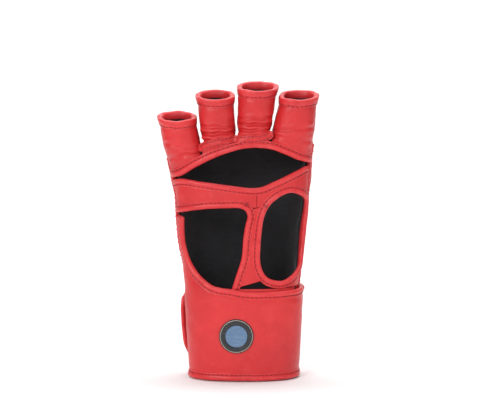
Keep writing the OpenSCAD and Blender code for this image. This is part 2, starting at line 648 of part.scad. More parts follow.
finger_pad_cover(2);  // middle_pad_cover
finger_pad_cover(3);  // index_pad_cover
finger_pad_foam(0);  // pinky_pad_foam
finger_pad_foam(1);  // ring_pad_foam
finger_pad_foam(2);  // middle_pad_foam
finger_pad_foam(3);  // index_pad_foam
strap_front();
strap_front_top_binding();
strap_front_bottom_binding();
badge_base();
badge_inlay();
strap_tail();
strap_tail_binding();
hook_tape();
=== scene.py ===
"""Looks of the open-finger grappling glove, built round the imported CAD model.

Lengths inside the shape functions are millimetres from the wrist's centre; to_frame()
turns them into metres in the glove's own frame. A place on the hand form is an angle
(0 thumb side, 90 back, 180 little-finger side, 270 palm), a height and a depth outwards.
"""

import math

import bpy
import numpy as np
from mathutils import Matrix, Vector
from mathutils.bvhtree import BVHTree


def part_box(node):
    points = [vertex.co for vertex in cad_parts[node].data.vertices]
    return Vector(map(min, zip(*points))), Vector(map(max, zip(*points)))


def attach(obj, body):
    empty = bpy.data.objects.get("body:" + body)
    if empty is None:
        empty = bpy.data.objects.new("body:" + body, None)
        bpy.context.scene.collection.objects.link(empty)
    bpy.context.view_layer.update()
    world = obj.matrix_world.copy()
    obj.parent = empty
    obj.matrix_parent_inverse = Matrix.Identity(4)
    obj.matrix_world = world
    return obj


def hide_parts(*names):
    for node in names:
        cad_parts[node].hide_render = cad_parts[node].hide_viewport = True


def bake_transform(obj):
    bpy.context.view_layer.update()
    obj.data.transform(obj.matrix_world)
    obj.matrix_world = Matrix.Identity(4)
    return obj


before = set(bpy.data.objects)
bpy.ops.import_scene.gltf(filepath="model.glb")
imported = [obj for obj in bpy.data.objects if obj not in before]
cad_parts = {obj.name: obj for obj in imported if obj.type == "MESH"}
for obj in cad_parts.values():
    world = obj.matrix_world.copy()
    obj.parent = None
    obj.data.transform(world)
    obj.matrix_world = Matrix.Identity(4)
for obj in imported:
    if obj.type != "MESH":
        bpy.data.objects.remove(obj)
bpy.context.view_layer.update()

# ---------------------------------------------------------------- the hand form

WRIST_W, CUFF_TOP_W, WRIST_DEPTH, CUFF_H = 68.0, 74.4, 41.0, 64.0
KNUCKLE_W, KNUCKLE_DEPTH, PALM_H, LEAN = 107.0, 30.0, 104.0, 4.2
FINGER_DEPTH, FINGER_GAP, FINGER_Y = 23.0, 1.8, -3.0
LOOP_H, LOOP_RISE, HEM_H = (29.0, 35.0, 36.0, 35.0), 5.0, 5.6
PLY = 0.1
PANEL_LO, PANEL_HI = 0.2, 1.5
STRAP_LO, STRAP_HI = 3.5, 4.9
HAND_N, FINGER_N, FRONT_SHARE = 2.4, 2.6, 0.51
FLARE = ((0, 0), (0.15, 0.16), (0.3, 0.36), (0.49, 0.47), (0.64, 0.5), (0.74, 0.58),
         (0.86, 0.72), (0.97, 0.9), (1.07, 1))
LEANING = ((0, 0.07), (0.3, 0.28), (0.64, 0.28), (0.74, 0.48), (0.86, 0.71), (1.07, 1))
THINNING = ((0, 0), (0.35, 0.28), (0.74, 0.7), (1.02, 1))
FINGERS = ("pinky", "ring", "middle", "index")
FINGER_SHARE = (0.261, 0.232, 0.217, 0.29)
HINGE_DROP = (14, 5, 0, 5)
FAN = (-0.22, -0.15, -0.01, 0.19, 0.14)
KNUCKLE_Z = CUFF_H + PALM_H
HINGE_Z = [KNUCKLE_Z - drop for drop in HINGE_DROP]

BADGE_X = -5.0
badge_lo, badge_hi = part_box("badge_base")
rim_lo, rim_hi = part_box("cuff_rim_binding")
CENTRE = np.array([
    BADGE_X - 500 * (badge_lo.x + badge_hi.x),
    WRIST_DEPTH * (0.5 - FRONT_SHARE) - 500 * (rim_lo.y + rim_hi.y),
    0.0])


def to_frame(points):
    """Millimetres from the wrist's centre to metres in the glove's frame."""
    return (np.asarray(points, float) - CENTRE) / 1000


def mix(a, b, u):
    return a + (b - a) * u


def smooth(u):
    u = np.clip(u, 0, 1)
    return u * u * (3 - 2 * u)


def soft_lookup(x, table):
    """Straight-line lookup with its corners rounded off."""
    xs, ys = zip(*table)
    shifts = np.linspace(-0.05, 0.05, 5)
    return sum(np.interp(x + s, xs, ys) for s in shifts) / len(shifts)


def palm_share(z):
    return np.maximum(0, (z - CUFF_H) / PALM_H)


def half_w(z):
    z = np.asarray(z, float)
    cuff = mix(WRIST_W, CUFF_TOP_W, z / CUFF_H) / 2
    palm = mix(CUFF_TOP_W, KNUCKLE_W - 2, soft_lookup(palm_share(z), FLARE)) / 2
    u = smooth((z - CUFF_H + 6) / 12)
    return mix(cuff, palm, u)


def mid_x(z):
    z = np.asarray(z, float)
    return -LEAN * soft_lookup(palm_share(z), LEANING) * smooth((z - CUFF_H + 10) / 20)


def half_d(z, t):
    depth = mix(WRIST_DEPTH, KNUCKLE_DEPTH, soft_lookup(palm_share(z), THINNING))
    return depth * np.where(np.sin(np.radians(t)) < 0, FRONT_SHARE, 1 - FRONT_SHARE)


def unit_r(t, n):
    a = np.radians(t)
    return (np.abs(np.cos(a)) ** n + np.abs(np.sin(a)) ** n) ** (-1 / n)


def hand_point(t, z, d):
    """Points on the hand form; t, z and d are arrays that fit each other."""
    t, z, d = np.broadcast_arrays(*(np.asarray(v, float) for v in (t, z, d)))
    k = unit_r(t, HAND_N)
    a = np.radians(t)
    x = mid_x(z) + (half_w(z) + d) * np.cos(a) * k
    y = (half_d(z, t) + d) * np.sin(a) * k
    return np.stack([x, y, z], -1)


def per_degree(t, z):
    return np.linalg.norm(hand_point(t + 0.5, z, 1) - hand_point(t - 0.5, z, 1), axis=-1)


def arc(where):
    """Length along a path up to each of its points."""
    return np.concatenate([[0], np.cumsum(np.linalg.norm(np.diff(where, axis=0), axis=1))])


def evenly(path, where, count):
    """Places of the path, as many as count, evenly spaced along its points in space."""
    s = arc(where)
    at = np.linspace(0, s[-1], count)
    return np.stack([np.interp(at, s, path[:, 0]), np.interp(at, s, path[:, 1])], 1)


def curve_through(p):
    """Fine smooth curve through the points; the first and the last of them only steer it."""
    u = np.linspace(0, 1, 24, endpoint=False)[:, None]
    parts = [0.5 * (2 * b + (c - a) * u + (2 * a - 5 * b + 4 * c - d) * u ** 2
                    + (3 * b - a - 3 * c + d) * u ** 3)
             for a, b, c, d in zip(p, p[1:], p[2:], p[3:])]
    return np.vstack(parts + [p[-2][None]])


def open_ends(p):
    return np.vstack([2 * p[0] - p[1], p, 2 * p[-1] - p[-2]])


def spline(points, n, closed=False):
    """n + 1 places along a smooth curve through the points, evenly spaced on the hand form."""
    p = np.asarray(points, float)
    p = np.vstack([p[-1], p, p[0], p[1]]) if closed else open_ends(p)
    return respace(curve_through(p), n)


def respace(tz, n):
    """The same path on the hand form at n + 1 evenly spaced places."""
    return evenly(tz, on_leather(tz), n + 1)


def on_leather(tz):
    """The path's points on the outer leather."""
    return hand_point(tz[:, 0], tz[:, 1], PANEL_HI)


def left_of(tz, closed=False):
    """Unit steps (in angle and height per millimetre) to the left of the path."""
    if closed:
        ahead, behind = np.roll(tz, -1, 0), np.roll(tz, 1, 0)
    else:
        ahead = np.vstack([tz[1:], 2 * tz[-1] - tz[-2]])
        behind = np.vstack([2 * tz[0] - tz[1], tz[:-1]])
    r = per_degree(tz[:, 0], tz[:, 1])
    go = np.stack([(ahead - behind)[:, 0] * r, (ahead - behind)[:, 1]], 1)
    go /= np.linalg.norm(go, axis=1, keepdims=True)
    return np.stack([-go[:, 1] / r, go[:, 0]], 1)


def beside(tz, w, closed=False):
    return tz + left_of(tz, closed) * np.asarray(w, float)[..., None]


def up(percent):
    return CUFF_H + np.asarray(percent, float) * PALM_H / 100


def placed(points):
    p = np.asarray(points, float)
    return np.stack([p[:, 0], up(p[:, 1])], 1)


# Outlines on the form as (angle, percentage of the palm's height)
PALM_SEAM, THUMB_SEAM, MEET = 184, 356, 283
ARCH = placed([(PALM_SEAM, 74.5), (214, 77), (236, 84), (252, 90), (266, 94), (277, 96),
               (287, 96.2), (296, 95), (308, 91.5), (321, 87.8), (338, 85.8), (THUMB_SEAM, 85)])
CROSS_TOP = placed([(PALM_SEAM + 1, 73), (213, 75), (233, 73.8), (248, 72.3), (266, 70.5),
                    (279, 69.3), (288, 70.2), (298, 73.4), (313, 78.2), (322, 80.4),
                    (334, 82.7), (343, 83.2)])
CROSS_LOW = placed([(PALM_SEAM + 1, 51), (210, 52.3), (236, 54.8), (255, 55.7), (267, 55.8)])
OPENING = np.vstack([CROSS_LOW, placed([(273, 54), (275, 50), (273, 44), (271, 34), (270, 24),
                                        (267, 17), (262, 8), (258, 1.6)])])
THUMB_HOLE = placed([(342, 14.3), (326, 9.5), (314, 6.6), (305, 6.6), (296, 8.6), (290, 13.3),
                     (287, 21), (287, 31.5), (288, 42.5), (290, 51), (294, 57), (300.6, 61.8),
                     (308, 64.8), (316, 65.6), (326, 64.2), (338, 61.5), (350, 58), (360, 52.5),
                     (366, 45), (368, 36), (366, 27), (360, 20.5), (352, 16.5)])
SIDE = placed([(256, 1.6), (248, 2.4), (238, 4.6), (226, 10.5), (214, 19), (208, 28), (207, 36),
               (208.5, 45), (210, 49)])
# Edge of the back leather on the thumb side, as (percentage of the palm's height, angle)
THUMB_SIDE = ((12, -3), (16, -0.5), (20, 6.5), (27, 12), (36, 14), (45, 12), (52, 6.5), (60, -1),
              (64, -3))
BACK_SEAM = 183


def finger_line(k, z):
    return -LEAN + KNUCKLE_W * (sum(FINGER_SHARE[:k]) - 0.5) + FAN[k] * (z - KNUCKLE_Z)


def rim_z(i, t):
    return HINGE_Z[i] + LOOP_H[i] + LOOP_RISE * (1 + np.sin(np.radians(t))) / 2


# ---------------------------------------------------------------- small tools


def waves(points, size, seed):
    """Smooth unevenness from -1 to 1 over points in millimetres, with features of that size."""
    rng = np.random.RandomState(seed)
    count = 7
    total = 0
    for _ in range(count):
        way = rng.normal(size=3)
        way *= 2 * math.pi / size * rng.uniform(0.6, 1.5) / np.linalg.norm(way)
        total = total + np.sin(points @ way + rng.uniform(0, 2 * math.pi))
    return total / math.sqrt(count) / 1.4


def new_object(name, verts, faces, material, extra=None, face_slots=None):
    mesh = bpy.data.meshes.new(name)
    mesh.from_pydata(to_frame(verts).tolist(), [], faces)
    mesh.materials.append(material)
    for other in extra or ():
        mesh.materials.append(other)
    if face_slots is not None:
        mesh.polygons.foreach_set("material_index", np.asarray(face_slots, np.int32))
    mesh.shade_smooth()
    mesh.update()
    obj = bpy.data.objects.new(name, mesh)
    bpy.context.scene.collection.objects.link(obj)
    return obj


def quads(rows, cols, wrap_rows=False, wrap_cols=False, start=0):
    """Faces of a grid of points numbered row by row."""
    i = np.arange(rows if wrap_rows else rows - 1)[:, None]
    j = np.arange(cols if wrap_cols else cols - 1)[None, :]
    a = i * cols + j
    b = ((i + 1) % rows) * cols + j
    c = ((i + 1) % rows) * cols + (j + 1) % cols
    d = i * cols + (j + 1) % cols
    return (np.stack(np.broadcast_arrays(a, b, c, d), -1).reshape(-1, 4) + start).tolist()


def tube(name, rings, material, closed=False):
    """Closed sections swept along a path; rings is (stations, points of the section, 3)."""
    n, k = rings.shape[:2]
    faces = quads(n, k, wrap_rows=closed, wrap_cols=True)
    if not closed:
        faces += [list(range(k))[::-1], [(n - 1) * k + j for j in range(k)]]
    return new_object(name, rings.reshape(-1, 3), faces, material)


def finish_piece(obj, nodes, body=None, blend=None):
    """Parents the piece to its body's empty, or with a blend only bakes its placement into the mesh, and
    hides the CAD nodes it stands for.
    """
    if blend:
        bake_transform(obj)
    else:
        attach(obj, body)
    if nodes:
        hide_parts(*nodes)
    return obj


# ---------------------------------------------------------------- materials


class Shader:
    """Builds one node material; every helper returns an output socket."""

    def __init__(self, name):
        self.mat = bpy.data.materials.new(name)
        self.mat.use_nodes = True
        self.tree = self.mat.node_tree
        self.bsdf = self.tree.nodes["Principled BSDF"]
        self.coord = self.tree.nodes.new("ShaderNodeTexCoord").outputs["Object"]

    def node(self, kind, inputs=None, **settings):
        n = self.tree.nodes.new(kind)
        for key, value in settings.items():
            setattr(n, key, value)
        for key, value in (inputs or {}).items():
            if isinstance(value, bpy.types.NodeSocket):
                self.tree.links.new(value, n.inputs[key])
            else:
                n.inputs[key].default_value = value
        return n

    def noise(self, scale, detail=4.0, rough=0.55, stretch=None, out="Fac"):
        vec = self.coord
        if stretch:
            vec = self.node("ShaderNodeMapping", {"Vector": vec, "Scale": stretch}).outputs[0]
        return self.node("ShaderNodeTexNoise", {"Vector": vec, "Scale": scale, "Detail": detail,
                                                "Roughness": rough}).outputs[out]

    def cells(self, scale, feature="F1", smoothness=None):
        inputs = {"Vector": self.coord, "Scale": scale}
        if smoothness is not None:
            inputs["Smoothness"] = smoothness
        return self.node("ShaderNodeTexVoronoi", inputs, feature=feature).outputs["Distance"]

    def math(self, op, a, b=0.0, clamp=False):
        return self.node("ShaderNodeMath", {0: a, 1: b}, operation=op, use_clamp=clamp).outputs[0]

    def span(self, value, low, high, to_low=0.0, to_high=1.0):
        return self.node("ShaderNodeMapRange", {"Value": value, "From Min": low, "From Max": high,
                                                "To Min": to_low, "To Max": to_high}).outputs[0]

    def blend(self, factor, a, b, mode="MIX"):
        n = self.node("ShaderNodeMix", data_type="RGBA", blend_type=mode)
        for key, value in ((0, factor), (6, a), (7, b)):
            if isinstance(value, bpy.types.NodeSocket):
                self.tree.links.new(value, n.inputs[key])
            else:
                n.inputs[key].default_value = value
        return n.outputs[2]

    def bump(self, height, strength, distance, normal=None):
        inputs = {"Height": height, "Strength": strength, "Distance": distance}
        if normal is not None:
            inputs["Normal"] = normal
        return self.node("ShaderNodeBump", inputs).outputs[0]

    def done(self, color, rough, normal, **values):
        links = self.tree.links
        for key, socket in (("Base Color", color), ("Roughness", rough), ("Normal", normal)):
            if isinstance(socket, bpy.types.NodeSocket):
                links.new(socket, self.bsdf.inputs[key])
            elif socket is not None:
                self.bsdf.inputs[key].default_value = socket
        for key, value in values.items():
            self.bsdf.inputs[key.replace("_", " ")].default_value = value
        return self.mat


def leather(name, base, dark, light, grain=1.0, shine=0.42):
    """Coated leather: pebble grain, fine pores, soft colour drift, rubbed raised edges."""
    s = Shader(name)
    drift = s.span(s.noise(28, 3), 0.35, 0.68)
    color = s.blend(drift, base, dark)
    blotch = s.span(s.noise(95, 4, 0.6), 0.52, 0.75, 0, 0.35)
    color = s.blend(blotch, color, light)
    edge = s.span(s.node("ShaderNodeNewGeometry").outputs["Pointiness"], 0.505, 0.56, 0, 0.4)
    worn = s.math("MULTIPLY", edge, s.span(s.noise(240, 4), 0.38, 0.6))
    color = s.blend(worn, color, light)
    pebbles = s.cells(1150, "SMOOTH_F1", 0.35)
    pores = s.noise(2600, 3)
    creased = s.noise(310, 5, 0.62, (1, 1, 2.2))
    height = s.math("ADD", s.math("MULTIPLY", pebbles, -0.8), s.math("MULTIPLY", pores, 0.3))
    normal = s.bump(creased, 0.16 * grain, 0.0006)
    normal = s.bump(height, 0.42 * grain, 0.00022, normal)
    rough = s.math("ADD", s.span(pores, 0.3, 0.7, shine - 0.07, shine + 0.07),
                   s.math("MULTIPLY", worn, -0.1))
    return s.done(color, rough, normal, Specular_IOR_Level=0.4, Coat_Weight=0.08,
                  Coat_Roughness=0.28)


def knit(name, base, light):
    """Thin knitted lining cloth."""
    s = Shader(name)
    ribs = s.node("ShaderNodeTexWave", {"Vector": s.coord, "Scale": 420.0, "Distortion": 1.2,
                                        "Detail": 1.0}, bands_direction="X").outputs["Fac"]
    rows = s.node("ShaderNodeTexWave", {"Vector": s.coord, "Scale": 360.0, "Distortion": 1.2,
                                        "Detail": 1.0}, bands_direction="Z").outputs["Fac"]
    weave = s.math("MULTIPLY", ribs, rows)
    lint = s.noise(900, 4)
    color = s.blend(s.span(weave, 0, 1, 0, 0.5), base, light)
    color = s.blend(s.span(lint, 0.55, 0.8, 0, 0.3), color, light)
    normal = s.bump(s.math("ADD", weave, s.math("MULTIPLY", lint, 0.4)), 0.7, 0.00035)
    return s.done(color, 0.92, normal, Specular_IOR_Level=0.25, Sheen_Weight=0.25,
                  Sheen_Roughness=0.5)


def pile(name, base, light, scale):
    """Hook or loop tape: a dense pile of short fibres."""
    s = Shader(name)
    tufts = s.cells(scale)
    fibres = s.noise(scale * 2.2, 5, 0.7)
    color = s.blend(s.span(tufts, 0.1, 0.6), light, base)
    normal = s.bump(s.math("ADD", tufts, fibres), 0.9, 0.0005)
    return s.done(color, 0.88, normal, Specular_IOR_Level=0.3, Sheen_Weight=0.2)


def thread(name, base, light):
    """Twisted polyester thread."""
    s = Shader(name)
    twist = s.node("ShaderNodeTexWave", {"Vector": s.coord, "Scale": 900.0, "Distortion": 2.0},
                   bands_direction="DIAGONAL").outputs["Fac"]
    color = s.blend(twist, base, light)
    return s.done(color, 0.5, s.bump(twist, 0.5, 0.0001), Sheen_Weight=0.1)


def enamel(name, base, light, rough):
    """Moulded badge plastic with faint scuffs."""
    s = Shader(name)
    scuff = s.span(s.noise(160, 6, 0.7, (1, 1, 6)), 0.5, 0.75)
    color = s.blend(s.math("MULTIPLY", scuff, 0.3), base, light)
    roughness = s.span(s.noise(420, 3), 0.3, 0.7, rough, rough + 0.14)
    return s.done(color, roughness, s.bump(s.noise(500, 3), 0.08, 0.0002), Coat_Weight=0.3,
                  Coat_Roughness=0.12)


def studio_paint(name, base):
    """Matt paper of the studio sweep."""
    s = Shader(name)
    tone = s.span(s.noise(6, 3), 0.3, 0.7)
    color = s.blend(tone, base, tuple(min(1, c * 1.01) for c in base[:3]) + (1,))
    return s.done(color, 0.85, s.bump(s.noise(900, 3), 0.05, 0.0002), Specular_IOR_Level=0.2)


RED = leather("red_leather", (0.68, 0.026, 0.028, 1), (0.57, 0.018, 0.022, 1),
              (0.8, 0.06, 0.06, 1))
# Lighter copy of the red leather for the bindings, hems and seams: its lighter colour is a painted
# highlight standing in for light on the raised folds
FOLD_LEATHER_PAINTED_HIGHLIGHT = leather("fold_leather_painted_highlight", (0.71, 0.032, 0.036, 1), (0.6, 0.02, 0.026, 1),
                   (0.84, 0.09, 0.09, 1), grain=0.8, shine=0.38)
BLACK_KNIT = knit("black_lining", (0.012, 0.012, 0.014, 1), (0.035, 0.035, 0.04, 1))
TAPE = pile("tape_pile", (0.008, 0.008, 0.009, 1), (0.04, 0.04, 0.045, 1), 900)
THREAD = thread("red_thread", (0.24, 0.006, 0.01, 1), (0.42, 0.014, 0.02, 1))
BADGE_BLACK = enamel("badge_black", (0.008, 0.009, 0.012, 1), (0.05, 0.05, 0.055, 1), 0.22)
BADGE_LINE = enamel("badge_line", (0.5, 0.48, 0.4, 1), (0.68, 0.66, 0.58, 1), 0.42)
BADGE_FACE = enamel("badge_face", (0.1, 0.19, 0.33, 1), (0.42, 0.5, 0.6, 1), 0.48)
PAPER = studio_paint("studio_paper", (0.9, 0.9, 0.9, 1))

# ---------------------------------------------------------------- stitches

STITCH_PITCH, STITCH_LENGTH, STITCH_R = 3.1, 2.2, 0.34


def stitches(name, lines, body=None, blend=None, pitch=STITCH_PITCH, length=STITCH_LENGTH):
    """Thread dashes along lines; each line is (points, outward unit normals) in millimetres."""
    around, along = 6, 5
    verts, faces = [], []
    for points, normals in lines:
        s = arc(points)
        count = max(1, int(s[-1] / pitch))
        for c in range(count):
            mid = (c + 0.5) * s[-1] / count
            at = mid + np.linspace(-0.5, 0.5, along) * length
            base = np.stack([np.interp(at, s, points[:, k]) for k in range(3)], 1)
            normal = np.array([np.interp(mid, s, normals[:, k]) for k in range(3)])
            normal /= np.linalg.norm(normal)
            go = base[-1] - base[0]
            go /= np.linalg.norm(go)
            side = np.cross(normal, go)
            side /= np.linalg.norm(side)
            rise = np.array([-0.32, 0.1, 0.2, 0.1, -0.32])
            thick = STITCH_R * np.array([0.55, 0.95, 1, 0.95, 0.55])
            start = len(verts)
            for p, r, h in zip(base, thick, rise):
                for q in range(around):
                    a = 2 * math.pi * q / around
                    verts.append(p + normal * (h + r * math.sin(a)) + side * r * math.cos(a))
            faces += quads(along, around, wrap_cols=True, start=start)
            faces.append([start + q for q in range(around)][::-1])
            faces.append([start + (along - 1) * around + q for q in range(around)])
    obj = new_object(name, np.array(verts), faces, THREAD)
    if blend:
        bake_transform(obj)
    else:
        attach(obj, body)
    return obj


def form_normals(tz):
    """Outward unit normals of the hand form along a path."""
    t, z, d = tz[:, 0], tz[:, 1], 2.0
    a = hand_point(t + 0.4, z, d) - hand_point(t - 0.4, z, d)
    b = hand_point(t, z + 0.4, d) - hand_point(t, z - 0.4, d)
    n = np.cross(a, b)
    return n / np.linalg.norm(n, axis=1, keepdims=True)


# ---------------------------------------------------------------- folded bindings

# Section of a folded binding on the hand: (across from the fold, depth), going round it
FOLD_SECTION = np.array([
    (0.0, 0.85), (0.14, 1.6), (0.5, 2.2), (1.1, 2.62), (1.9, 2.78), (2.7, 2.62), (3.3, 2.3),
    (3.75, 1.9), (4.05, 1.72), (4.35, 1.92), (4.75, 2.12), (5.15, 2.05), (5.35, 1.75),
    (5.4, 1.2), (5.3, 0.2), (5.0, -0.45), (3.4, -0.75), (1.6, -0.75), (0.6, -0.35), (0.15, 0.2)])
GROOVE_W, GROOVE_DEPTH = 4.05, 1.95


def no_lift(t, z):
    return 0 * t


def fold_rings(tz, section, closed=False, lift=no_lift, pucker=0.16, seed=1):
    """Stations of a folded binding to the left of the path; lift(t, z) raises it."""
    left = left_of(tz, closed)
    where = on_leather(tz)
    s = arc(where)
    beat = 0.5 - 0.5 * np.cos(2 * math.pi * s / STITCH_PITCH)
    outside = section[:, 1] > section[:, 1].mean()
    near = np.exp(-((section[:, 0] - GROOVE_W) / 0.9) ** 2) * outside
    puff = np.clip(1 - ((section[:, 0] - 1.9) / 2.0) ** 2, 0, 1) * outside
    uneven = waves(where, 9, seed)
    d = section[None, :, 1] - pucker * (1 - beat[:, None]) * near[None] \
        + 0.16 * uneven[:, None] * puff[None]
    w = section[None, :, 0] + 0.12 * waves(where, 14, seed + 5)[:, None]
    if not closed:
        fade = smooth(np.minimum(s, s[-1] - s) / 0.8)[:, None]
        d = mix(mix(section[:, 1].mean(), d, 0.35), d, fade)
    t = tz[:, :1] + left[:, :1] * w
    z = tz[:, 1:] + left[:, 1:] * w
    return hand_point(t, z, d + lift(t, z))


def groove_line(tz, closed=False, lift=no_lift):
    """Line of a binding's stitches and its normals."""
    line = beside(tz, np.full(len(tz), GROOVE_W), closed)
    if closed:
        line = np.vstack([line, line[:1]])
    high = GROOVE_DEPTH + lift(line[:, 0], line[:, 1])
    return hand_point(line[:, 0], line[:, 1], high), form_normals(line)


def dense(points, closed=False):
    """A path with about one place per millimetre."""
    rough = spline(points, 200, closed)
    length = np.linalg.norm(np.diff(on_leather(rough), axis=0), axis=1).sum()
    tz = respace(rough, int(length))
    return tz[:-1] if closed else tz


# ---------------------------------------------------------------- palm pieces

arch = dense(ARCH)
cross_top = dense(CROSS_TOP[::-1])
opening = dense(OPENING)
thumb_ring = dense(THUMB_HOLE, closed=True)


def height_on(path, t):
    order = np.argsort(path[:, 0])
    return np.interp(t, path[order, 0], path[order, 1])


def skin(tz_grid, lo, hi, seed, bulge=0.0, wrinkle=0.12):
    """Inner and outer grids of a leather panel over a grid of (angle, height) places."""
    t, z = tz_grid[..., 0], tz_grid[..., 1]
    flat = hand_point(t, z, hi)
    n, m = t.shape
    u = np.linspace(0, 1, n)[:, None] * np.ones((1, m))
    v = np.ones((n, 1)) * np.linspace(0, 1, m)[None]
    dome = (1 - (2 * u - 1) ** 4) * (1 - (2 * v - 1) ** 2)
    rise = bulge * dome + wrinkle * waves(flat.reshape(-1, 3), 16, seed).reshape(n, m) * dome
    rise = rise + 0.05 * waves(flat.reshape(-1, 3), 5, seed + 3).reshape(n, m)
    return hand_point(t, z, lo), hand_point(t, z, hi + rise)


def between(low, high, rows):
    """Grid of places from the path low to the path high, with as many columns as each has."""
    v = np.linspace(0, 1, rows)[None, :, None]
    return mix(low[:, None, :], high[:, None, :], v)


def palm_panel(name, low, high, rows, nodes, seed, **kw):
    inner, outer = skin(between(low, high, rows), PANEL_LO, PANEL_HI, seed, **kw)
    obj = sheet_solid(name, inner, outer, RED, BLACK_KNIT)
    return finish_piece(obj, nodes, body="hand")


FOLD_IN = 0.8


def make_cross_strap():
    t = np.linspace(PALM_SEAM + 1, MEET, 100)
    low = np.stack([t, height_on(dense(CROSS_LOW), np.minimum(t, 267)) + FOLD_IN], 1)
    low[:, 1] = np.where(t > 267, np.interp(t, [267, MEET], [low[t <= 267, 1][-1], up(56.2)]),
                         low[:, 1])
    high = np.stack([t, height_on(cross_top, t) - FOLD_IN], 1)
    palm_panel("cross_strap_leather", low, high, 24, ["cross_strap"], 11, bulge=0.5, wrinkle=0.3)


def hole_part(first, last, n):
    """Places just inside the binding of the thumb hole, between two of its outline points."""
    ring = np.vstack([THUMB_HOLE, THUMB_HOLE])
    lo, hi = int(min(first, last)), math.ceil(max(first, last))
    part = spline(ring[lo:hi + 1], 200)
    out = respace(beside(part, np.full(len(part), FOLD_IN)), n - 1)
    return out if first <= last else out[::-1]


def make_web():
    n, over_bar = 80, 16
    round_hole = hole_part(10, 16, n - over_bar)
    corner = np.array([MEET + 0.3, up(56.25)])
    run = np.linspace(0, 1, over_bar, endpoint=False)[:, None]
    low = np.vstack([mix(corner, round_hole[0], run), round_hole])
    low[:, 0] = np.minimum(low[:, 0], THUMB_SEAM)
    t_high = np.linspace(MEET + 0.3, THUMB_SEAM, n)
    z_high = np.where(t_high < 343, height_on(cross_top, t_high), up(83.2)) - FOLD_IN
    high = np.stack([t_high, z_high], 1)
    palm_panel("thumb_web_leather", low, high, 22, ["thumb_web"], 12, bulge=0.4, wrinkle=0.25)


def make_bar():
    n = 70
    low = beside(spline(OPENING[5:], n - 1), np.full(n, FOLD_IN))
    high = hole_part(10, 4, n)
    high[:, 0] = np.minimum(high[:, 0], MEET + 12)
    palm_panel("centre_bar_leather", low, high, 12, ["centre_bar"], 13, bulge=0.25)


def make_thumb_base():
    n = 40
    t = np.linspace(302, THUMB_SEAM, n)
    low = np.stack([t, np.full(n, up(1.6))], 1)
    high = hole_part(26, 22, n)
    high[:, 0] = np.clip(high[:, 0], 302, THUMB_SEAM)
    palm_panel("thumb_base_leather", low, high, 12, ["thumb_base"], 14, bulge=0.2)


# Centres of the crossed tacks beside the top of the centre bar, as (x, z)
TACKS = ((1.9, 125.0), (15.2, 123.4))


def make_palm_bindings():
    for name, path, node, closed, seed in (
            ("palm_band_fold", arch, "palm_band_binding", False, 21),
            ("cross_strap_fold", cross_top, "cross_strap_binding", False, 22),
            ("palm_opening_fold", opening, "palm_opening_binding", False, 23),
            ("thumb_hole_fold", thumb_ring, "thumb_binding", True, 24)):
        obj = tube(name, fold_rings(path, FOLD_SECTION, closed, seed=seed), FOLD_LEATHER_PAINTED_HIGHLIGHT, closed)
        finish_piece(obj, [node], body="hand")
    lines = [groove_line(arch), groove_line(cross_top), groove_line(opening),
             groove_line(thumb_ring, closed=True)]
    stitches("palm_stitches", lines, body="hand")
    tacks = []
    for x, z in TACKS:
        for slope in (-1, 1):
            run = np.linspace(-1.6, 1.6, 9)
            t = angle_at(x + run, z + run * slope)
            tz = np.stack([t, z + run * slope], 1)
            tacks.append((hand_point(tz[:, 0], tz[:, 1], 2.85), form_normals(tz)))
    stitches("cross_tacks", tacks, body="hand", length=3.6)

# ---------------------------------------------------------------- solid shells


def thick(name, outer, inner, faces, material, inner_material=None):
    """Closed solid from faces over the outer points and a matching inner layer."""
    n = len(outer)
    pairs = {(f[k], f[(k + 1) % len(f)]) for f in faces for k in range(len(f))}
    rim = [(b, a, a + n, b + n) for a, b in pairs if (b, a) not in pairs]
    rim.sort()
    inside = [tuple(v + n for v in reversed(f)) for f in faces]
    slots = [0] * len(faces) + [1 if inner_material else 0] * len(inside) + [0] * len(rim)
    return new_object(name, np.vstack([outer, inner]), list(faces) + inside + rim, material,
                      extra=[inner_material] if inner_material else None, face_slots=slots)


def sheet_solid(name, inner, outer, material, inner_material=None):
    """Closed solid between two grids whose rows run along +angle and columns upwards."""
    n, m = outer.shape[:2]
    return thick(name, outer.reshape(-1, 3), inner.reshape(-1, 3), quads(n, m),
                 material, inner_material)


# ---------------------------------------------------------------- finger loops

HINGE_Y = -8.0
BEND_START = (157.0, 169.5, 173.0, 169.0)
BEND_LENGTH = 12.0
FRONT_T = ((184, 328), (212, 328), (212, 328), (212, 356))
FINGER_LEATHER_HI, HEM_HI = 2.0, 2.9
# Folds across the front of each loop: (height above the hinge, depth, slope, width)
FOLDS = (((4, 0.8, 0.25, 1.7), (11, 0.6, -0.2, 1.6)),
         ((6.8, 1.3, 0.12, 1.3), (11, 1.6, 0.1, 1.5), (15.5, 1.0, -0.08, 1.4)),
         ((8.6, 1.3, 0.06, 1.3), (12.4, 1.5, -0.05, 1.4), (16.5, 0.8, 0.03, 1.4)),
         ((7, 0.7, -0.2, 1.6), (14, 0.8, 0.12, 1.5)))


def finger_form(i, t, z, d, spread=0.0):
    t, z, d, spread = np.broadcast_arrays(*(np.asarray(v, float) for v in (t, z, d, spread)))
    k = unit_r(t, FINGER_N)
    a = np.radians(t)
    below = (HINGE_Z[i] + LOOP_H[i] - HEM_H - z) / (LOOP_H[i] - HEM_H - 12)
    wall = mix(HEM_HI, FINGER_LEATHER_HI, np.clip(below, 0, 1))
    left = finger_line(i, z) + FINGER_GAP / 2 + wall
    right = finger_line(i + 1, z) - FINGER_GAP / 2 - wall
    y = mix(FINGER_Y, 0, spread)
    b = mix(FINGER_DEPTH, KNUCKLE_DEPTH, spread) / 2
    return np.stack([(left + right) / 2 + ((right - left) / 2 + d) * np.cos(a) * k,
                     y + (b + d) * np.sin(a) * k, z], -1)


ANGLES = np.linspace(184, 356, 173)


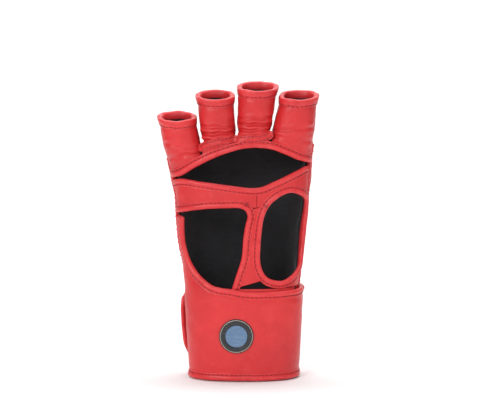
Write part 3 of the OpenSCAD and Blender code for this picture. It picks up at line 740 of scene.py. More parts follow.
def angle_at(x, z):
    """Angle on the palm side of the hand form at which it has that x; x and z are arrays."""
    out = np.empty(np.shape(x))
    for place in np.ndindex(out.shape):
        out[place] = np.interp(x[place], hand_point(ANGLES, z[place], 1)[:, 0], ANGLES)
    return out


def finger_folds(i, t, z):
    """Height of the wrinkles across the front of a loop."""
    x = np.cos(np.radians(t)) * 10
    front = smooth((-np.sin(np.radians(t)) - 0.1) / 0.5)
    total = 0
    for k, (above, depth, slope, width) in enumerate(FOLDS[i]):
        ends = 0.45 + 0.55 * np.cos((x + 3 * math.sin(2.1 * k + i)) / 11)
        away = (z - HINGE_Z[i] - above - slope * x - 0.35 * np.sin(x * 0.8 + k)) / width
        total = total - depth * ends * np.exp(-away ** 2) + 0.5 * depth * ends * np.exp(
            -((np.abs(away) - 1.6) / 0.9) ** 2)
    return total * front


def finger_skin(i, t, z, d):
    """Front leather of a finger: on the hand form at its foot, on the finger above."""
    t0, t1 = FRONT_T[i]
    u = (t - t0) / (t1 - t0)
    low = np.minimum(z, HINGE_Z[i] + 12)
    left = np.full(z.shape, float(PALM_SEAM)) if i == 0 else angle_at(finger_line(i, low), low)
    right = (np.full(z.shape, float(THUMB_SEAM)) if i == 3
             else angle_at(finger_line(i + 1, low), low))
    on_hand = hand_point(mix(left, right, u), z, d)
    on_finger = finger_form(i, t, z, d + 0.5)
    w = smooth((z - HINGE_Z[i] + 6) / 18)[..., None]
    return mix(on_hand, on_finger, w), mix(left, right, u)


def make_finger(i):
    """One sleeve of leather from the arch binding to the hem, lined with black knit."""
    name = FINGERS[i]
    t0, t1 = FRONT_T[i]
    n_front, n_back, n_low, n_up = 56, 60, 26, 52
    foot_z = HINGE_Z[i] + 3.0
    t_front = np.linspace(t0, t1, n_front)
    t_back = np.linspace(t1, t0 + 360, n_back + 2)[1:-1]
    t_all = np.concatenate([t_front, t_back])
    top = rim_z(i, t_all) - 1.2
    v = np.linspace(0, 1, n_up)
    z_up = foot_z + (top[:, None] - foot_z) * v[None]
    tt = np.repeat(t_all[:, None], n_up, 1)
    u = (t_front - t0) / (t1 - t0)
    at_foot = finger_skin(i, t_front[:, None], np.full((n_front, 1), foot_z - 12), 1.0)[1][:, 0]
    arch_z = height_on(arch, at_foot) + 1.2
    for _ in range(3):
        at_foot = finger_skin(i, t_front[:, None], arch_z[:, None], 1.0)[1][:, 0]
        arch_z = height_on(arch, at_foot) + 1.2
    z_low = arch_z[:, None] + (foot_z - arch_z[:, None]) * np.linspace(0, 1, n_low + 1)[None, :-1]
    t_low = np.repeat(t_front[:, None], n_low, 1)

    def layer(d):
        front = finger_skin(i, tt[:n_front], z_up[:n_front], d)[0]
        s = 1 - smooth((z_up[n_front:] - foot_z) / 9)
        back = finger_form(i, tt[n_front:], z_up[n_front:], d + 0.5 - 1.2 * s, s)
        low = finger_skin(i, t_low, z_low, d)[0]
        return np.vstack([np.vstack([front.reshape(-1, 3), back.reshape(-1, 3)]),
                          low.reshape(-1, 3)])

    flat = layer(PANEL_HI)
    way = layer(PANEL_HI + 1) - flat
    way /= np.maximum(np.linalg.norm(way, axis=1, keepdims=True), 1e-6)
    t_flat = np.concatenate([tt.ravel(), t_low.ravel()])
    uneven = 0.22 * waves(flat, 13, 31 + i) + 0.1 * waves(flat, 5, 41 + i)
    rise = uneven + finger_folds(i, t_flat, flat[:, 2])
    near_hem = smooth((rim_z(i, t_flat) - HEM_H - flat[:, 2]) / 3)
    rise = rise * mix(0.25, 1, near_hem) + 0.35 * near_hem * smooth((flat[:, 2] - foot_z) / 6)
    outer = flat + way * rise[:, None]
    inner = layer(PANEL_LO - 0.6)
    cols = n_front + n_back
    faces = quads(cols, n_up, wrap_rows=True)
    base = cols * n_up
    for c in range(n_front - 1):
        for r in range(n_low):
            a, b = base + c * n_low + r, base + (c + 1) * n_low + r
            if r + 1 < n_low:
                faces.append([a, b, b + 1, a + 1])
            else:
                faces.append([a, b, (c + 1) * n_up, c * n_up])
    obj = thick(name + "_leather", outer, inner, [tuple(f) for f in faces], RED, BLACK_KNIT)
    start, end = BEND_START[i], BEND_START[i] + BEND_LENGTH
    y = to_frame([0, HINGE_Y, 0])[1]
    finish_piece(obj, [name + "_crease", name + "_loop", name + "_lining", "palm_band"],
                 blend=("hand", name + "_finger", (0, y, start / 1000),
                                       (0, y, end / 1000)))
    return outer, [f for f in faces if all(v >= base or v < n_front * n_up for v in f)]


# Section of a loop's hem, like FOLD_SECTION but taller, flatter and a little flared
HEM_SECTION = np.array([
    (0.0, 1.2), (0.1, 2.2), (0.4, 2.9), (0.95, 3.2), (1.9, 3.22), (3.1, 3.08), (4.1, 2.9),
    (4.7, 2.55), (5.0, 2.22), (5.3, 2.45), (5.7, 2.6), (6.05, 2.45), (6.2, 2.05),
    (6.2, 1.3), (6.0, 0.3), (5.5, -0.4), (3.8, -0.7), (1.6, -0.7), (0.6, -0.3), (0.12, 0.4)])
HEM_GROOVE = 5.0


def make_hem(i):
    """Folded hem round a loop's mouth, with its line of stitches."""
    n = 150
    t = np.linspace(360, 0, n, endpoint=False)
    rim = rim_z(i, t)
    where = finger_form(i, t, rim, 2.0)
    s = arc(where)
    count = round(s[-1] / STITCH_PITCH)
    beat = 0.5 - 0.5 * np.cos(2 * math.pi * s / s[-1] * count)
    w, d = HEM_SECTION[None, :, 0], HEM_SECTION[None, :, 1]
    outside = (d > 1.6) * 1.0
    near = np.exp(-((w - HEM_GROOVE) / 0.9) ** 2) * outside
    puff = np.clip(1 - ((w - 1.9) / 2.0) ** 2, 0, 1) * outside
    depth = d - 0.2 * (1 - beat[:, None]) * near + 0.18 * waves(where, 8, 51 + i)[:, None] * puff
    sink = 0.25 * waves(where, 11, 61 + i)[:, None]
    rings = finger_form(i, t[:, None] + 0 * w, rim[:, None] - w + sink, depth)
    obj = tube(FINGERS[i] + "_hem_fold", rings, FOLD_LEATHER_PAINTED_HIGHLIGHT, closed=True)
    finish_piece(obj, [FINGERS[i] + "_hem"], body=FINGERS[i] + "_finger")
    line_t = np.linspace(360, 0, n + 1)
    z = rim_z(i, line_t) - HEM_GROOVE
    line = finger_form(i, line_t, z, 2.45)
    out = finger_form(i, line_t, z, 3.45) - line
    stitches(FINGERS[i] + "_hem_stitches", [(line, out)], body=FINGERS[i] + "_finger")


def make_patch(fronts):
    """Strip sewn over the roots of the ring and middle fingers, laid on their leather."""
    verts, faces, start = [], [], 0
    for outer, front in fronts:
        verts += [Vector(p) for p in outer]
        faces += [[v + start for v in f] for f in front]
        start += len(outer)
    tree = BVHTree.FromPolygons(verts, faces)
    middle = np.array([(-31.5, 162.4), (-26, 165.6), (-18, 167.8), (-5.25, 169.6), (6, 170.2),
                       (13.5, 170.9), (17.6, 172.7), (19.8, 175.5)])
    fine = spline_xz(middle, 120)
    go = np.gradient(fine, axis=0)
    go /= np.linalg.norm(go, axis=1, keepdims=True)
    left = np.stack([-go[:, 1], go[:, 0]], 1)
    rows = 14
    w = np.linspace(-1, 1, rows)
    half = 3.1 * smooth(np.minimum(np.arange(len(fine)), len(fine) - 1 - np.arange(len(fine)))
                        / 7.0 + 0.25)
    grid = fine[:, None, :] + left[:, None, :] * (w[None, :, None] * half[:, None, None])
    y = np.empty(grid.shape[:2])
    for place in np.ndindex(y.shape):
        x, z = grid[place]
        hit = tree.ray_cast(Vector((x, -60, z)), Vector((0, 1, 0)))[0]
        y[place] = hit.y if hit is not None else np.nan
    for row in range(rows):
        good = ~np.isnan(y[:, row])
        y[:, row] = np.interp(np.arange(len(y)), np.nonzero(good)[0], y[good, row])
    soft = y.copy()
    for _ in range(25):
        pad = np.pad(soft, 1, mode="edge")
        soft = (pad[:-2, 1:-1] + pad[2:, 1:-1] + pad[1:-1, :-2] + pad[1:-1, 2:]) / 4
    y = np.minimum(soft, y)
    points = np.stack([grid[..., 0], y, grid[..., 1]], -1)
    edge = np.sqrt(np.clip(1 - np.abs(w) ** 6, 0, 1))[None, :]
    seam = np.exp(-((np.abs(w) - 0.62) / 0.16) ** 2)[None, :]
    height = 0.3 + 1.05 * edge - 0.45 * seam + 0.08 * waves(points.reshape(-1, 3), 6, 71).reshape(y.shape)
    outer = points - np.stack([0 * y, height, 0 * y], -1)
    inner = points + np.array([0, 0.5, 0])
    obj = sheet_solid("root_patch", inner, outer, RED)
    finish_piece(obj, ["palm_band_patch"], body="hand")
    lines = []
    for side in (3, rows - 4):
        line = outer[4:-4, side] - np.array([0, 0.05, 0])
        lines.append((line, np.tile([0.0, -1.0, 0.0], (len(line), 1))))
    stitches("patch_stitches", lines, body="hand", pitch=2.7)


def spline_xz(points, n):
    """Evenly spaced places along a smooth curve through flat points."""
    fine = curve_through(open_ends(points))
    return evenly(fine, fine, n)


# ---------------------------------------------------------------- strap

STRAP_FOOT, STRAP_END, TAIL_START, TAIL_END = 0.6, 358, 2, 179
STRAP_RISE = STRAP_LO - PANEL_LO


def strap_head(t):
    return CUFF_H + 1.2 * (1 - np.cos(np.radians(t - 270))) - 0.4


def strap_lift(t, z):
    """Height of the strap above the hand's own leather; it runs out up the little-finger side."""
    out = 1 - smooth((z - 52) / 42)
    return STRAP_RISE * out * smooth((t - 181) / 12)


SWOOP = np.vstack([[(t, strap_head(t)) for t in (STRAP_END, 340, 320, 300, 284)],
                   [(270, 64.2), (258, 65.8)], SIDE[1:]])
swoop = dense(SWOOP)
STRAP_BEND = ("hand", "strap_front", (-0.0365, 0, 0), (-0.021, 0, 0))


def make_strap():
    """The strap's front and the strip up the little-finger side are one piece of leather."""
    n, rows = 260, 64
    top = respace(beside(swoop, np.full(len(swoop), FOLD_IN)), n - 1)
    straight = top[:, 0] > 262
    corner = [(262, STRAP_FOOT), (PALM_SEAM, STRAP_FOOT), (PALM_SEAM, 60), (PALM_SEAM, 114)]
    rest = respace(np.array(corner, float), n - straight.sum())[1:]
    low = np.vstack([np.stack([top[straight, 0], np.full(straight.sum(), STRAP_FOOT + FOLD_IN)], 1),
                     rest])
    low[:, 1] = np.maximum(low[:, 1], STRAP_FOOT + FOLD_IN)
    grid = between(low, top, rows)[::-1]
    t, z = grid[..., 0], grid[..., 1]
    lift = strap_lift(t, z)
    flat = hand_point(t, z, PANEL_HI + lift)
    size = t.shape
    pts = flat.reshape(-1, 3)
    soft = 0.4 * waves(pts * [1, 1, 0.45], 30, 81) + 0.16 * waves(pts, 11, 82) + 0.05 * waves(pts, 4, 83)
    v = np.linspace(0, 1, rows)[None] * np.ones(size)
    edge = smooth(np.minimum(v, 1 - v) * 60 / 9)
    pull = np.exp(-((np.minimum(v, 1 - v) * 60 - 5.8) / 1.6) ** 2)
    rise = soft.reshape(size) * edge - 0.25 * pull + 0.35 * edge
    obj = sheet_solid("strap_leather", hand_point(t, z, PANEL_LO + lift),
                      hand_point(t, z, PANEL_HI + lift + rise), RED, BLACK_KNIT)
    finish_piece(obj, ["strap_front", "side_strip"], blend=STRAP_BEND)
    fold = tube("strap_top_fold", fold_rings(swoop, FOLD_SECTION, lift=strap_lift, seed=84), FOLD_LEATHER_PAINTED_HIGHLIGHT)
    finish_piece(fold, ["strap_front_top_binding", "side_strip_binding"],
                 blend=STRAP_BEND)
    foot = dense([(t, STRAP_FOOT) for t in range(187, 358, 9)] + [(STRAP_END, STRAP_FOOT)])
    fold = tube("strap_foot_fold", fold_rings(foot, FOLD_SECTION, lift=strap_lift, seed=85), FOLD_LEATHER_PAINTED_HIGHLIGHT)
    finish_piece(fold, ["strap_front_bottom_binding"], blend=STRAP_BEND)
    stitches("strap_stitches", [groove_line(swoop, lift=strap_lift),
                                groove_line(foot, lift=strap_lift)], blend=STRAP_BEND)


TAIL_BEND = ("strap_front", "strap_tail", (0.0455, -0.0027, 0), (0.0441, 0.0035, 0))
TAIL_LIFT = max(0, PANEL_HI + PLY + 2 * 0.9 + 0.4 + PLY - STRAP_LO)


def narrowing(t):
    return (np.maximum(0, t - 120) / (TAIL_END - 120)) ** 2


def tail_foot(t):
    return mix(STRAP_FOOT, CUFF_H * 0.4, narrowing(t))


def tail_head(t):
    return mix(strap_head(t), CUFF_H * 0.84, narrowing(t))


def tail_lift(t, z):
    grow = TAIL_LIFT * np.clip((t - TAIL_START) / 30, 0, 1)
    return STRAP_RISE + grow + 2.6 * (np.maximum(0, t - 155) / (TAIL_END - 155)) ** 2


def make_tail():
    """Tail of the strap across the back of the cuff, with its binding."""
    ts = [STRAP_END - 360, 20, 38, 56, 74, 92, 110, 128, 144, 158, 168, 175]
    ends = [(TAIL_END + (0.6 if s == 0.5 else 0), mix(tail_foot(TAIL_END), tail_head(TAIL_END), s))
            for s in (0.25, 0.5, 0.75)]
    outline = [(t, tail_foot(t)) for t in ts] + ends + [(t, tail_head(t)) for t in ts[::-1]]
    path = dense(outline)
    n = 2 * (len(path) // 2)
    path = respace(spline(outline, 400), n)
    inner = beside(path, np.full(len(path), FOLD_IN))
    half = n // 2 - 3
    grid = between(inner[:half], inner[::-1][:half], 50)
    t, z = grid[..., 0], grid[..., 1]
    size = t.shape
    pts = hand_point(t, z, STRAP_HI).reshape(-1, 3)
    v = np.linspace(0, 1, 50)[None] * np.ones(size)
    edge = smooth(np.minimum(v, 1 - v) * 60 / 9)
    rise = (0.35 * waves(pts, 26, 91) + 0.12 * waves(pts, 8, 92)).reshape(size) * edge + 0.35 * edge
    lift = tail_lift(t, z)
    obj = sheet_solid("tail_leather", hand_point(t, z, PANEL_LO + lift),
                      hand_point(t, z, PANEL_HI + lift + rise), RED, BLACK_KNIT)
    finish_piece(obj, ["strap_tail"], blend=TAIL_BEND)
    fold = tube("tail_fold", fold_rings(path, FOLD_SECTION, lift=tail_lift, seed=93), FOLD_LEATHER_PAINTED_HIGHLIGHT)
    finish_piece(fold, ["strap_tail_binding"], blend=TAIL_BEND)
    stitches("tail_stitches", [groove_line(path, lift=tail_lift)], blend=TAIL_BEND)


def tape_piece(name, node, t_range, z_range, lo, hi, body):
    """Woven tape with rounded borders."""
    t = np.linspace(*t_range, 70)[:, None] * np.ones((1, 30))
    z = np.ones((70, 1)) * np.linspace(*z_range, 30)[None]
    u = np.linspace(-1, 1, 70)[:, None]
    v = np.linspace(-1, 1, 30)[None]
    round_off = 0.35 * (np.abs(u) ** 30 + np.abs(v) ** 14)
    fuzz = 0.06 * waves(hand_point(t, z, hi).reshape(-1, 3), 2.2, 101).reshape(t.shape)
    outside = np.maximum(hi - round_off + fuzz, lo + 0.1)
    obj = sheet_solid(name, hand_point(t, z, lo), hand_point(t, z, outside), TAPE)
    return finish_piece(obj, [node], body=body)


def make_tapes():
    tape_piece("loop_tape_pile", "loop_tape", (42, 150), (14.1, 51.2), 1.6, 2.5, "hand")
    top = STRAP_LO + TAIL_LIFT - PLY
    tape_piece("hook_tape_pile", "hook_tape", (70, 140), (16, 48), top - 0.9, top, "strap_tail")


def lathe(name, profile, material, place):
    """Turned piece on an axis along -Y; the profile is (radius, height) points round it."""
    sides = 96
    a = np.linspace(0, 2 * math.pi, sides, endpoint=False)
    rings = [np.stack([place[0] + r * np.cos(a), np.full(sides, place[1] - h),
                       place[2] + r * np.sin(a)], 1) for r, h in profile]
    verts = np.vstack(rings)
    faces = quads(len(rings), sides, wrap_cols=True)
    faces.append(list(range(sides))[::-1])
    faces.append([(len(rings) - 1) * sides + j for j in range(sides)])
    return new_object(name, verts, faces, material)


def make_badge():
    """Plain round badge: black rim, one fine pale ring and a ribbed slate-blue disc."""
    z = 0.51 * CUFF_H
    back = float(hand_point(270, z, STRAP_HI)[1]) + 0.35
    place = (BADGE_X, back, z)
    base = [(0.3, 0), (12.0, 0), (12.1, 0.3), (12.1, 1.1), (11.9, 1.5), (11.4, 1.72),
            (9.7, 1.86), (8.2, 1.8), (7.75, 1.6), (7.6, 1.2), (0.3, 1.15)]
    ring = [(11.45, 1.6), (11.44, 1.76), (11.3, 1.82), (11.14, 1.82), (11.1, 1.65), (11.45, 1.6)]
    ridge = [(r, 1.7 + 0.07 * math.cos(r * 2 * math.pi / 1.5))
             for r in np.linspace(7.65, 0.2, 60)][::-1]
    finish_piece(lathe("badge_rim", base[::-1], BADGE_BLACK, place), ["badge_base"],
                 body="strap_front")
    line = lathe("badge_line_0", ring, BADGE_LINE, place)
    finish_piece(line, None, body="strap_front")
    disc = lathe("badge_disc", ([(0.2, 1.0)] + ridge + [(7.65, 1.0)])[::-1], BADGE_FACE, place)
    finish_piece(disc, ["badge_inlay"], body="strap_front")


# ---------------------------------------------------------------- back and wrist


def back_edge(z):
    return np.interp(palm_share(z) * 100, *zip(*THUMB_SIDE))


def hand_rim(t, above=5):
    """Upper edge of the hand's leather: a line that far above the four hinges."""
    x = hand_point(t, KNUCKLE_Z, 1)[..., 0]
    centres = [(finger_line(i, KNUCKLE_Z) + finger_line(i + 1, KNUCKLE_Z)) / 2 for i in range(4)]
    return np.interp(x, centres, [h + above for h in HINGE_Z])


def back_grid(inset, cols, rows):
    u = np.linspace(0, 1, cols)[:, None]
    v = np.linspace(0, 1, rows)[None]
    z = mix(inset, hand_rim(mix(0, BACK_SEAM, u)) - inset, v)
    slack = inset / 0.35
    return np.stack([mix(back_edge(z) + slack, BACK_SEAM - slack + 0 * z, u), z], -1)


def make_back():
    grid = back_grid(FOLD_IN, 170, 120)
    inner, outer = skin(grid, PANEL_LO, PANEL_HI, 111, bulge=0.0, wrinkle=0.35)
    obj = sheet_solid("back_leather", inner, outer, RED)
    finish_piece(obj, ["back_panel"], body="hand")
    grid = back_grid(3.0, 120, 90)
    inner, outer = skin(grid, -1.1, 0.05, 112, wrinkle=0.0)
    t, z = grid[..., 0], grid[..., 1]
    soft = 0.5 * waves(inner.reshape(-1, 3), 17, 113).reshape(t.shape)
    inner = hand_point(t, z, -1.3 - np.abs(soft))
    obj = sheet_solid("back_lining_cloth", inner, outer, BLACK_KNIT)
    finish_piece(obj, ["back_lining"], body="hand")


def make_band_lining():
    """Lining behind the foot of the finger leather, under the arch binding's inner lip."""
    path = beside(arch, np.full(len(arch), FOLD_IN + 0.3))
    n = len(path)
    path = path[int(0.05 * n):int(0.95 * n)]
    top = np.stack([path[:, 0], np.maximum(path[:, 1] + 1.5, hand_rim(path[:, 0], 3) - 3)], 1)
    grid = between(path, top, 10)
    inner, outer = skin(grid, -2.0, -0.85, 114, wrinkle=0.1)
    obj = sheet_solid("band_lining_cloth", inner, outer, BLACK_KNIT)
    finish_piece(obj, ["palm_band_lining"], body="hand")


SLIT = 334


def make_wrist():
    n, rows = 170, 50
    t = np.linspace(PALM_SEAM - 1, SLIT, n)
    low = np.stack([t, np.full(n, FOLD_IN)], 1)
    high = np.stack([t, np.full(n, float(up(1.2)))], 1)
    inner, outer = skin(between(low, high, rows), PANEL_LO, PANEL_HI, 121, wrinkle=0.2)
    obj = sheet_solid("wrist_leather", inner, outer, RED)
    finish_piece(obj, ["wrist_band"], body="hand")
    t = np.linspace(PALM_SEAM - 4, SLIT - 3, n)
    low = np.stack([t, np.full(n, 5.4)], 1)
    high = np.stack([t, np.full(n, CUFF_H - 3)], 1)
    grid = between(low, high, rows)
    inner, outer = skin(grid, -1.2, 0.05, 122, wrinkle=0.3)
    obj = sheet_solid("wrist_lining_cloth", inner, outer, BLACK_KNIT)
    finish_piece(obj, ["wrist_lining"], body="hand")
    rim = dense([(a, 0.0) for a in np.linspace(-2.5, SLIT, 40)])
    fold = tube("cuff_rim_fold", fold_rings(rim, FOLD_SECTION, seed=123), FOLD_LEATHER_PAINTED_HIGHLIGHT)
    finish_piece(fold, ["cuff_rim_binding"], body="hand")
    stitches("cuff_rim_stitches", [groove_line(rim)], body="hand")


def make_side_seams():
    """Raised seams where the back leather meets the palm's, with short stitches across."""
    lines = []
    section = np.array([(math.cos(a) * 1.5, 1.35 + math.sin(a) * 0.9)
                        for a in np.linspace(0, 2 * math.pi, 14, endpoint=False)])
    for name, t, z0, z1 in (("pinky_side_seam", 183.6, 66, 156), ("thumb_side_seam", 356.6, 126, 166),
                            ("thumb_foot_seam", 356.6, 66, 79)):
        z = np.linspace(z0, z1, int(z1 - z0))
        path = np.stack([np.full(len(z), t), z], 1)
        beads = 0.16 * np.cos(2 * math.pi * z / STITCH_PITCH)
        rings = fold_rings(path, section, pucker=0, seed=131)
        out = form_normals(path)
        rings = rings + out[:, None, :] * (beads[:, None, None] + 0.35)
        obj = tube(name, rings, FOLD_LEATHER_PAINTED_HIGHLIGHT)
        finish_piece(obj, None, body="hand")
        for c in range(int((z1 - z0) / 4.6)):
            zc = z0 + 2 + c * 4.6
            w = np.linspace(-1.9, 1.9, 7) / 0.36
            pts = hand_point(t + w, np.full(7, zc), 1.75 + 0.75 * np.cos(np.linspace(-1.4, 1.4, 7)))
            lines.append((pts, form_normals(np.stack([t + w, np.full(7, zc)], 1))))
    stitches("side_seam_stitches", lines, body="hand", pitch=9)


# ---------------------------------------------------------------- pads


def apply_modifiers(obj):
    deps = bpy.context.evaluated_depsgraph_get()
    mesh = bpy.data.meshes.new_from_object(obj.evaluated_get(deps))
    old = obj.data
    obj.modifiers.clear()
    obj.data = mesh
    bpy.data.meshes.remove(old)


def coords(mesh):
    out = np.empty(len(mesh.vertices) * 3)
    mesh.vertices.foreach_get("co", out)
    return out.reshape(-1, 3)


def set_coords(mesh, points):
    mesh.vertices.foreach_set("co", np.asarray(points, float).ravel())
    mesh.update()


def inflate(obj, voxel, pressure, cap, base_normal_test):
    """Voxel remesh and a short cloth simulation under pressure, with the base held."""
    remesh = obj.modifiers.new("remesh", "REMESH")
    remesh.mode, remesh.voxel_size = "VOXEL", voxel
    apply_modifiers(obj)
    start = coords(obj.data)
    held = obj.vertex_groups.new(name="held")
    held.add([int(v) for v in np.nonzero(base_normal_test(start * 1000 + CENTRE))[0]], 1.0, "ADD")
    cloth = obj.modifiers.new("cloth", "CLOTH")
    s = cloth.settings
    s.quality, s.mass = 6, 0.2
    s.tension_stiffness = s.compression_stiffness = 12
    s.shear_stiffness, s.bending_stiffness = 8, 2.0
    s.use_pressure, s.uniform_pressure_force = True, pressure
    s.vertex_group_mass = "held"
    s.effector_weights.gravity = 0
    cloth.collision_settings.use_collision = False
    scene = bpy.context.scene
    for f in range(1, 21):
        scene.frame_set(f)
    deps = bpy.context.evaluated_depsgraph_get()
    moved = coords(obj.evaluated_get(deps).data) - start
    scene.frame_set(1)
    obj.modifiers.clear()
    far = np.linalg.norm(moved, axis=1, keepdims=True)
    start = start + moved * np.minimum(1, cap / np.maximum(far, 1e-9))
    set_coords(obj.data, start)
    relax = obj.modifiers.new("relax", "SMOOTH")
    relax.factor, relax.iterations = 0.5, 2
    obj.modifiers.new("subdivide", "SUBSURF").levels = 1
    apply_modifiers(obj)
    for polygon in obj.data.polygons:
        polygon.use_smooth = True
    return obj


def crown(s):
    return np.sqrt(np.maximum(0, 1 - np.abs(2 * s - 1) ** 4))


def pad_block(name, point, rise, cols, rows):
    """Closed cushion-shaped block over point(u, v, d), with a flat base."""
    u = np.linspace(0, 1, cols)[:, None] * np.ones((1, rows))
    v = np.ones((cols, 1)) * np.linspace(0, 1, rows)[None]
    h = rise(u, v)
    return sheet_solid(name, point(u, v, -0.4 + 0 * h), point(u, v, 0.5 + h), RED)


def channels(obj, lines, width, depth, body_dir):
    """Sewn channels: presses the surface in along lines and returns the lines on the surface."""
    pts = coords(obj.data) * 1000 + CENTRE
    normals = np.empty(len(pts) * 3)
    obj.data.vertices.foreach_get("normal", normals)
    normals = normals.reshape(-1, 3)
    sink = np.zeros(len(pts))
    for line in lines:
        flat = line[:, [0, 2]]
        gap = np.full(len(pts), 1e9)
        for a, b in zip(flat, flat[1:]):
            ab = b - a
            s = np.clip(((pts[:, [0, 2]] - a) @ ab) / (ab @ ab), 0, 1)
            gap = np.minimum(gap, np.linalg.norm(pts[:, [0, 2]] - a - s[:, None] * ab, axis=1))
        sink = np.maximum(sink, depth * np.exp(-(gap / width) ** 2))
    facing = np.clip(normals @ body_dir * 1.6, 0, 1)
    pts = pts - np.asarray(body_dir)[None] * (sink * facing)[:, None]
    pts = pts + normals * (0.16 * waves(pts, 9, 141) + 0.07 * waves(pts, 3.5, 142))[:, None]
    set_coords(obj.data, to_frame(pts))
    tree = BVHTree.FromObject(obj, bpy.context.evaluated_depsgraph_get())
    out = []
    for line in lines:
        hits, outs = [], []
        for x, _, z in line:
            origin = Vector(to_frame([x, 0, z]) + np.asarray(body_dir) * 0.08)
            hit, normal, _, _ = tree.ray_cast(origin, -Vector(body_dir))
            if hit is not None and normal @ Vector(body_dir) > 0.25:
                hits.append(np.array(hit) * 1000 + CENTRE)
                outs.append(np.array(normal))
        if len(hits) > 3:
            out.append((np.array(hits) + 0.1 * np.array(outs), np.array(outs)))
    return out


def bar_top(x):
    xs, zs = [], []
    for i in range(4):
        xs += [(finger_line(i, KNUCKLE_Z) + finger_line(i + 1, KNUCKLE_Z)) / 2,
               finger_line(i + 1, KNUCKLE_Z)]
        zs += [HINGE_Z[i] + 3, min(HINGE_Z[i], HINGE_Z[min(3, i + 1)]) + 4]
    return soft_path(x, xs, zs, 4)


def soft_path(x, xs, zs, reach):
    return sum(np.interp(x + s, xs, zs) for s in np.linspace(-reach, reach, 7)) / 7


BAR_LOW, BAR_H, PAD_LO = 56, 13.0, 1.6


def bar_point(u, v, d):
    t = mix(19, 161, u)
    z = mix(up(BAR_LOW) + 1.5, bar_top(hand_point(t, KNUCKLE_Z, 1)[..., 0]) - 1.5, v)
    return hand_point(t, z, PAD_LO + d)


def bar_rise(u, v):
    x = bar_point(u, 0.5 + 0 * v, 0)[..., 0]
    gaps = np.min([np.abs(x - finger_line(k, up(80))) for k in (1, 2, 3)], axis=0)
    return (BAR_H - 3.2) * crown(u) * crown(v) * np.minimum(1, 0.72 + gaps / 24)


def make_knuckle_bar():
    obj = pad_block("knuckle_bar_pad", bar_point, bar_rise, 90, 36)
    inflate(obj, 0.0026, 4.0, 0.0025, lambda p: near_form(p, PAD_LO + 0.8))
    grooves = []
    for k in (1, 2, 3):
        z = np.linspace(up(BAR_LOW) + 5, HINGE_Z[k - 1] - 2, 40)
        x = finger_line(k, z)
        grooves.append(np.stack([x, 0 * x, z], 1))
    u = np.linspace(0.07, 0.93, 120)
    for v in (0.12, 0.88):
        grooves.append(bar_point(u, np.full(120, v), 0))
    across = bar_point(u, np.full(120, 0.45), 0)
    grooves.append(across)
    sewn = channels(obj, grooves, 1.7, 1.5, np.array([0.0, 1.0, 0.0]))
    finish_piece(obj, ["knuckle_bar_cover", "knuckle_bar_foam"], body="hand")
    stitches("knuckle_bar_stitches", sewn, body="hand")


def near_form(p, depth):
    """Points that lie close to the hand form, nearer than that depth above it."""
    t = np.degrees(np.arctan2(p[:, 1] / half_d(p[:, 2], np.full(len(p), 90.0)),
                              (p[:, 0] - mid_x(p[:, 2])) / half_w(p[:, 2])))
    out = hand_point(t, p[:, 2], depth)
    centre = np.stack([mid_x(p[:, 2]), 0 * p[:, 0]], 1)
    return np.linalg.norm(p[:, :2] - centre, axis=1) < np.linalg.norm(out[:, :2] - centre, axis=1)


def make_back_pad():
    def point(u, v, d):
        return hand_point(mix(47, 133, u), mix(up(13.5), up(50.5), v), PAD_LO + d)

    def rise(u, v):
        return 3.0 * crown(u) * crown(v)

    obj = pad_block("back_pad", point, rise, 60, 40)
    inflate(obj, 0.0026, 3.0, 0.002, lambda p: near_form(p, PAD_LO + 0.8))
    u = np.linspace(0.08, 0.92, 60)
    lines = [point(u, np.full(60, v), 0) for v in (0.14, 0.5, 0.86)]
    sewn = channels(obj, lines, 1.7, 1.0, np.array([0.0, 1.0, 0.0]))
    finish_piece(obj, ["back_pad_cover", "back_pad_foam"], body="hand")
    stitches("back_pad_stitches", sewn, body="hand")


def make_finger_pad(i):
    low, high = HINGE_Z[i] + 13.4, HINGE_Z[i] + LOOP_H[i] + LOOP_RISE - HEM_H - 1.4
    name = FINGERS[i] + "_finger"

    def point(u, v, d):
        t = mix(50, 130, u)
        return finger_form(i, t, mix(low, high, v), 2.1) + np.stack([0 * d, d, 0 * d], -1)

    def rise(u, v):
        return 5.6 * crown(u) * crown(v)

    obj = pad_block(FINGERS[i] + "_pad", point, rise, 30, 30)
    inflate(obj, 0.0016, 4.0, 0.0015,
            lambda p: p[:, 1] < FINGER_Y + FINGER_DEPTH / 2 + 2.6)
    u = np.linspace(0.1, 0.9, 30)
    lines = [point(u, np.full(30, v), 0 * u) for v in (0.16, 0.84)]
    sewn = channels(obj, lines, 1.2, 0.8, np.array([0.0, 1.0, 0.0]))
    finish_piece(obj, [FINGERS[i] + "_pad_cover", FINGERS[i] + "_pad_foam"],
                 body=name)
    stitches(FINGERS[i] + "_pad_stitches", sewn, body=name)


# ---------------------------------------------------------------- studio

PHOTO_MM_PER_PX = 0.70
CAMERA_DISTANCE, CAMERA_ELEVATION, SENSOR = 1.6, 6.5, 36.0


def make_camera():
    """Long lens, a little above the middle of the glove, looking at the palm."""
    data = bpy.data.cameras.new("camera")
    cam = bpy.data.objects.new("camera", data)
    bpy.context.scene.collection.objects.link(cam)
    data.sensor_width = SENSOR
    data.lens = SENSOR * CAMERA_DISTANCE / (500 * PHOTO_MM_PER_PX / 1000)
    aim = Vector(to_frame([(250 - 243.5) * PHOTO_MM_PER_PX, -15, (382 - 200) * PHOTO_MM_PER_PX]))
    e = math.radians(CAMERA_ELEVATION)
    cam.location = aim + CAMERA_DISTANCE * Vector((0, -math.cos(e), math.sin(e)))
    cam.rotation_euler = (math.pi / 2 - e, 0, 0)
    data.clip_end = 20
    bpy.context.scene.camera = cam


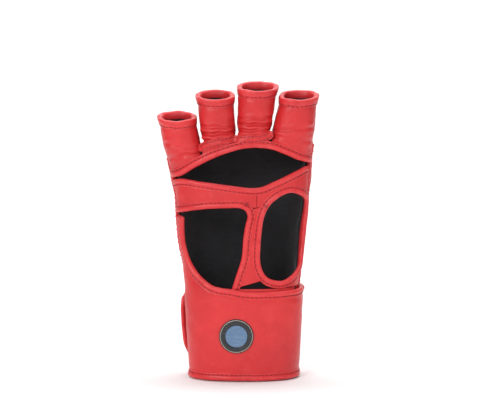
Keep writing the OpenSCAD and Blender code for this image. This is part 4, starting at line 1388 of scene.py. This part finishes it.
def area_light(name, place, aim, size, power):
    data = bpy.data.lights.new(name, "AREA")
    data.shape = "RECTANGLE"
    data.size, data.size_y = size
    data.energy = power
    obj = bpy.data.objects.new(name, data)
    obj.location = place
    way = Vector(aim) - Vector(place)
    obj.rotation_euler = way.to_track_quat("-Z", "Y").to_euler()
    bpy.context.scene.collection.objects.link(obj)


def make_studio():
    """Pale sweep: a floor that curves up into a wall at both ends, and five soft lights."""
    radius, depth, width, height = 0.5, 1.2, 3.0, 2.4
    bend = [(depth + radius * math.sin(a), radius - radius * math.cos(a))
            for a in np.linspace(0, math.pi / 2, 16)] + [(depth + radius, height)]
    front = 1.1
    curve = [(-y - front, z) for y, z in bend[::-1]] + bend
    verts = [(x, y, z) for y, z in curve for x in (-width, width)]
    faces = [(2 * i, 2 * i + 1, 2 * i + 3, 2 * i + 2) for i in range(len(curve) - 1)]
    mesh = bpy.data.meshes.new("studio_sweep")
    mesh.from_pydata(verts, [], faces)
    mesh.materials.append(PAPER)
    mesh.shade_smooth()
    sweep = bpy.data.objects.new("studio_sweep", mesh)
    bpy.context.scene.collection.objects.link(sweep)
    aim = (0, 0, 0.11)
    area_light("key", (-0.6, -1.0, 0.8), aim, (0.55, 0.6), 7.8)
    area_light("fill", (0.9, -0.9, 0.4), aim, (0.8, 0.9), 1.6)
    area_light("top", (0.1, 0.1, 1.2), aim, (0.9, 0.6), 3.2)
    area_light("backdrop", (0, 0.3, 1.6), (0, 1.6, 0.4), (1.6, 0.6), 26)
    area_light("front_wall", (0, -1.9, 1.7), (0, -2.7, 0.5), (1.8, 0.6), 15)
    world = bpy.data.worlds.new("studio")
    bpy.context.scene.world = world
    world.use_nodes = True
    world.node_tree.nodes["Background"].inputs[0].default_value = (1, 1, 1, 1)
    world.node_tree.nodes["Background"].inputs[1].default_value = 0.3
    bpy.context.scene.view_settings.view_transform = "Standard"


make_camera()
make_studio()
make_cross_strap()
make_web()
make_bar()
make_thumb_base()
make_palm_bindings()
make_patch([make_finger(i) for i in range(4)])
make_strap()
make_tail()
make_tapes()
make_badge()
make_back()
make_band_lining()
make_wrist()
make_side_seams()
make_knuckle_bar()
make_back_pad()
for finger in range(4):
    make_hem(finger)
    make_finger_pad(finger)
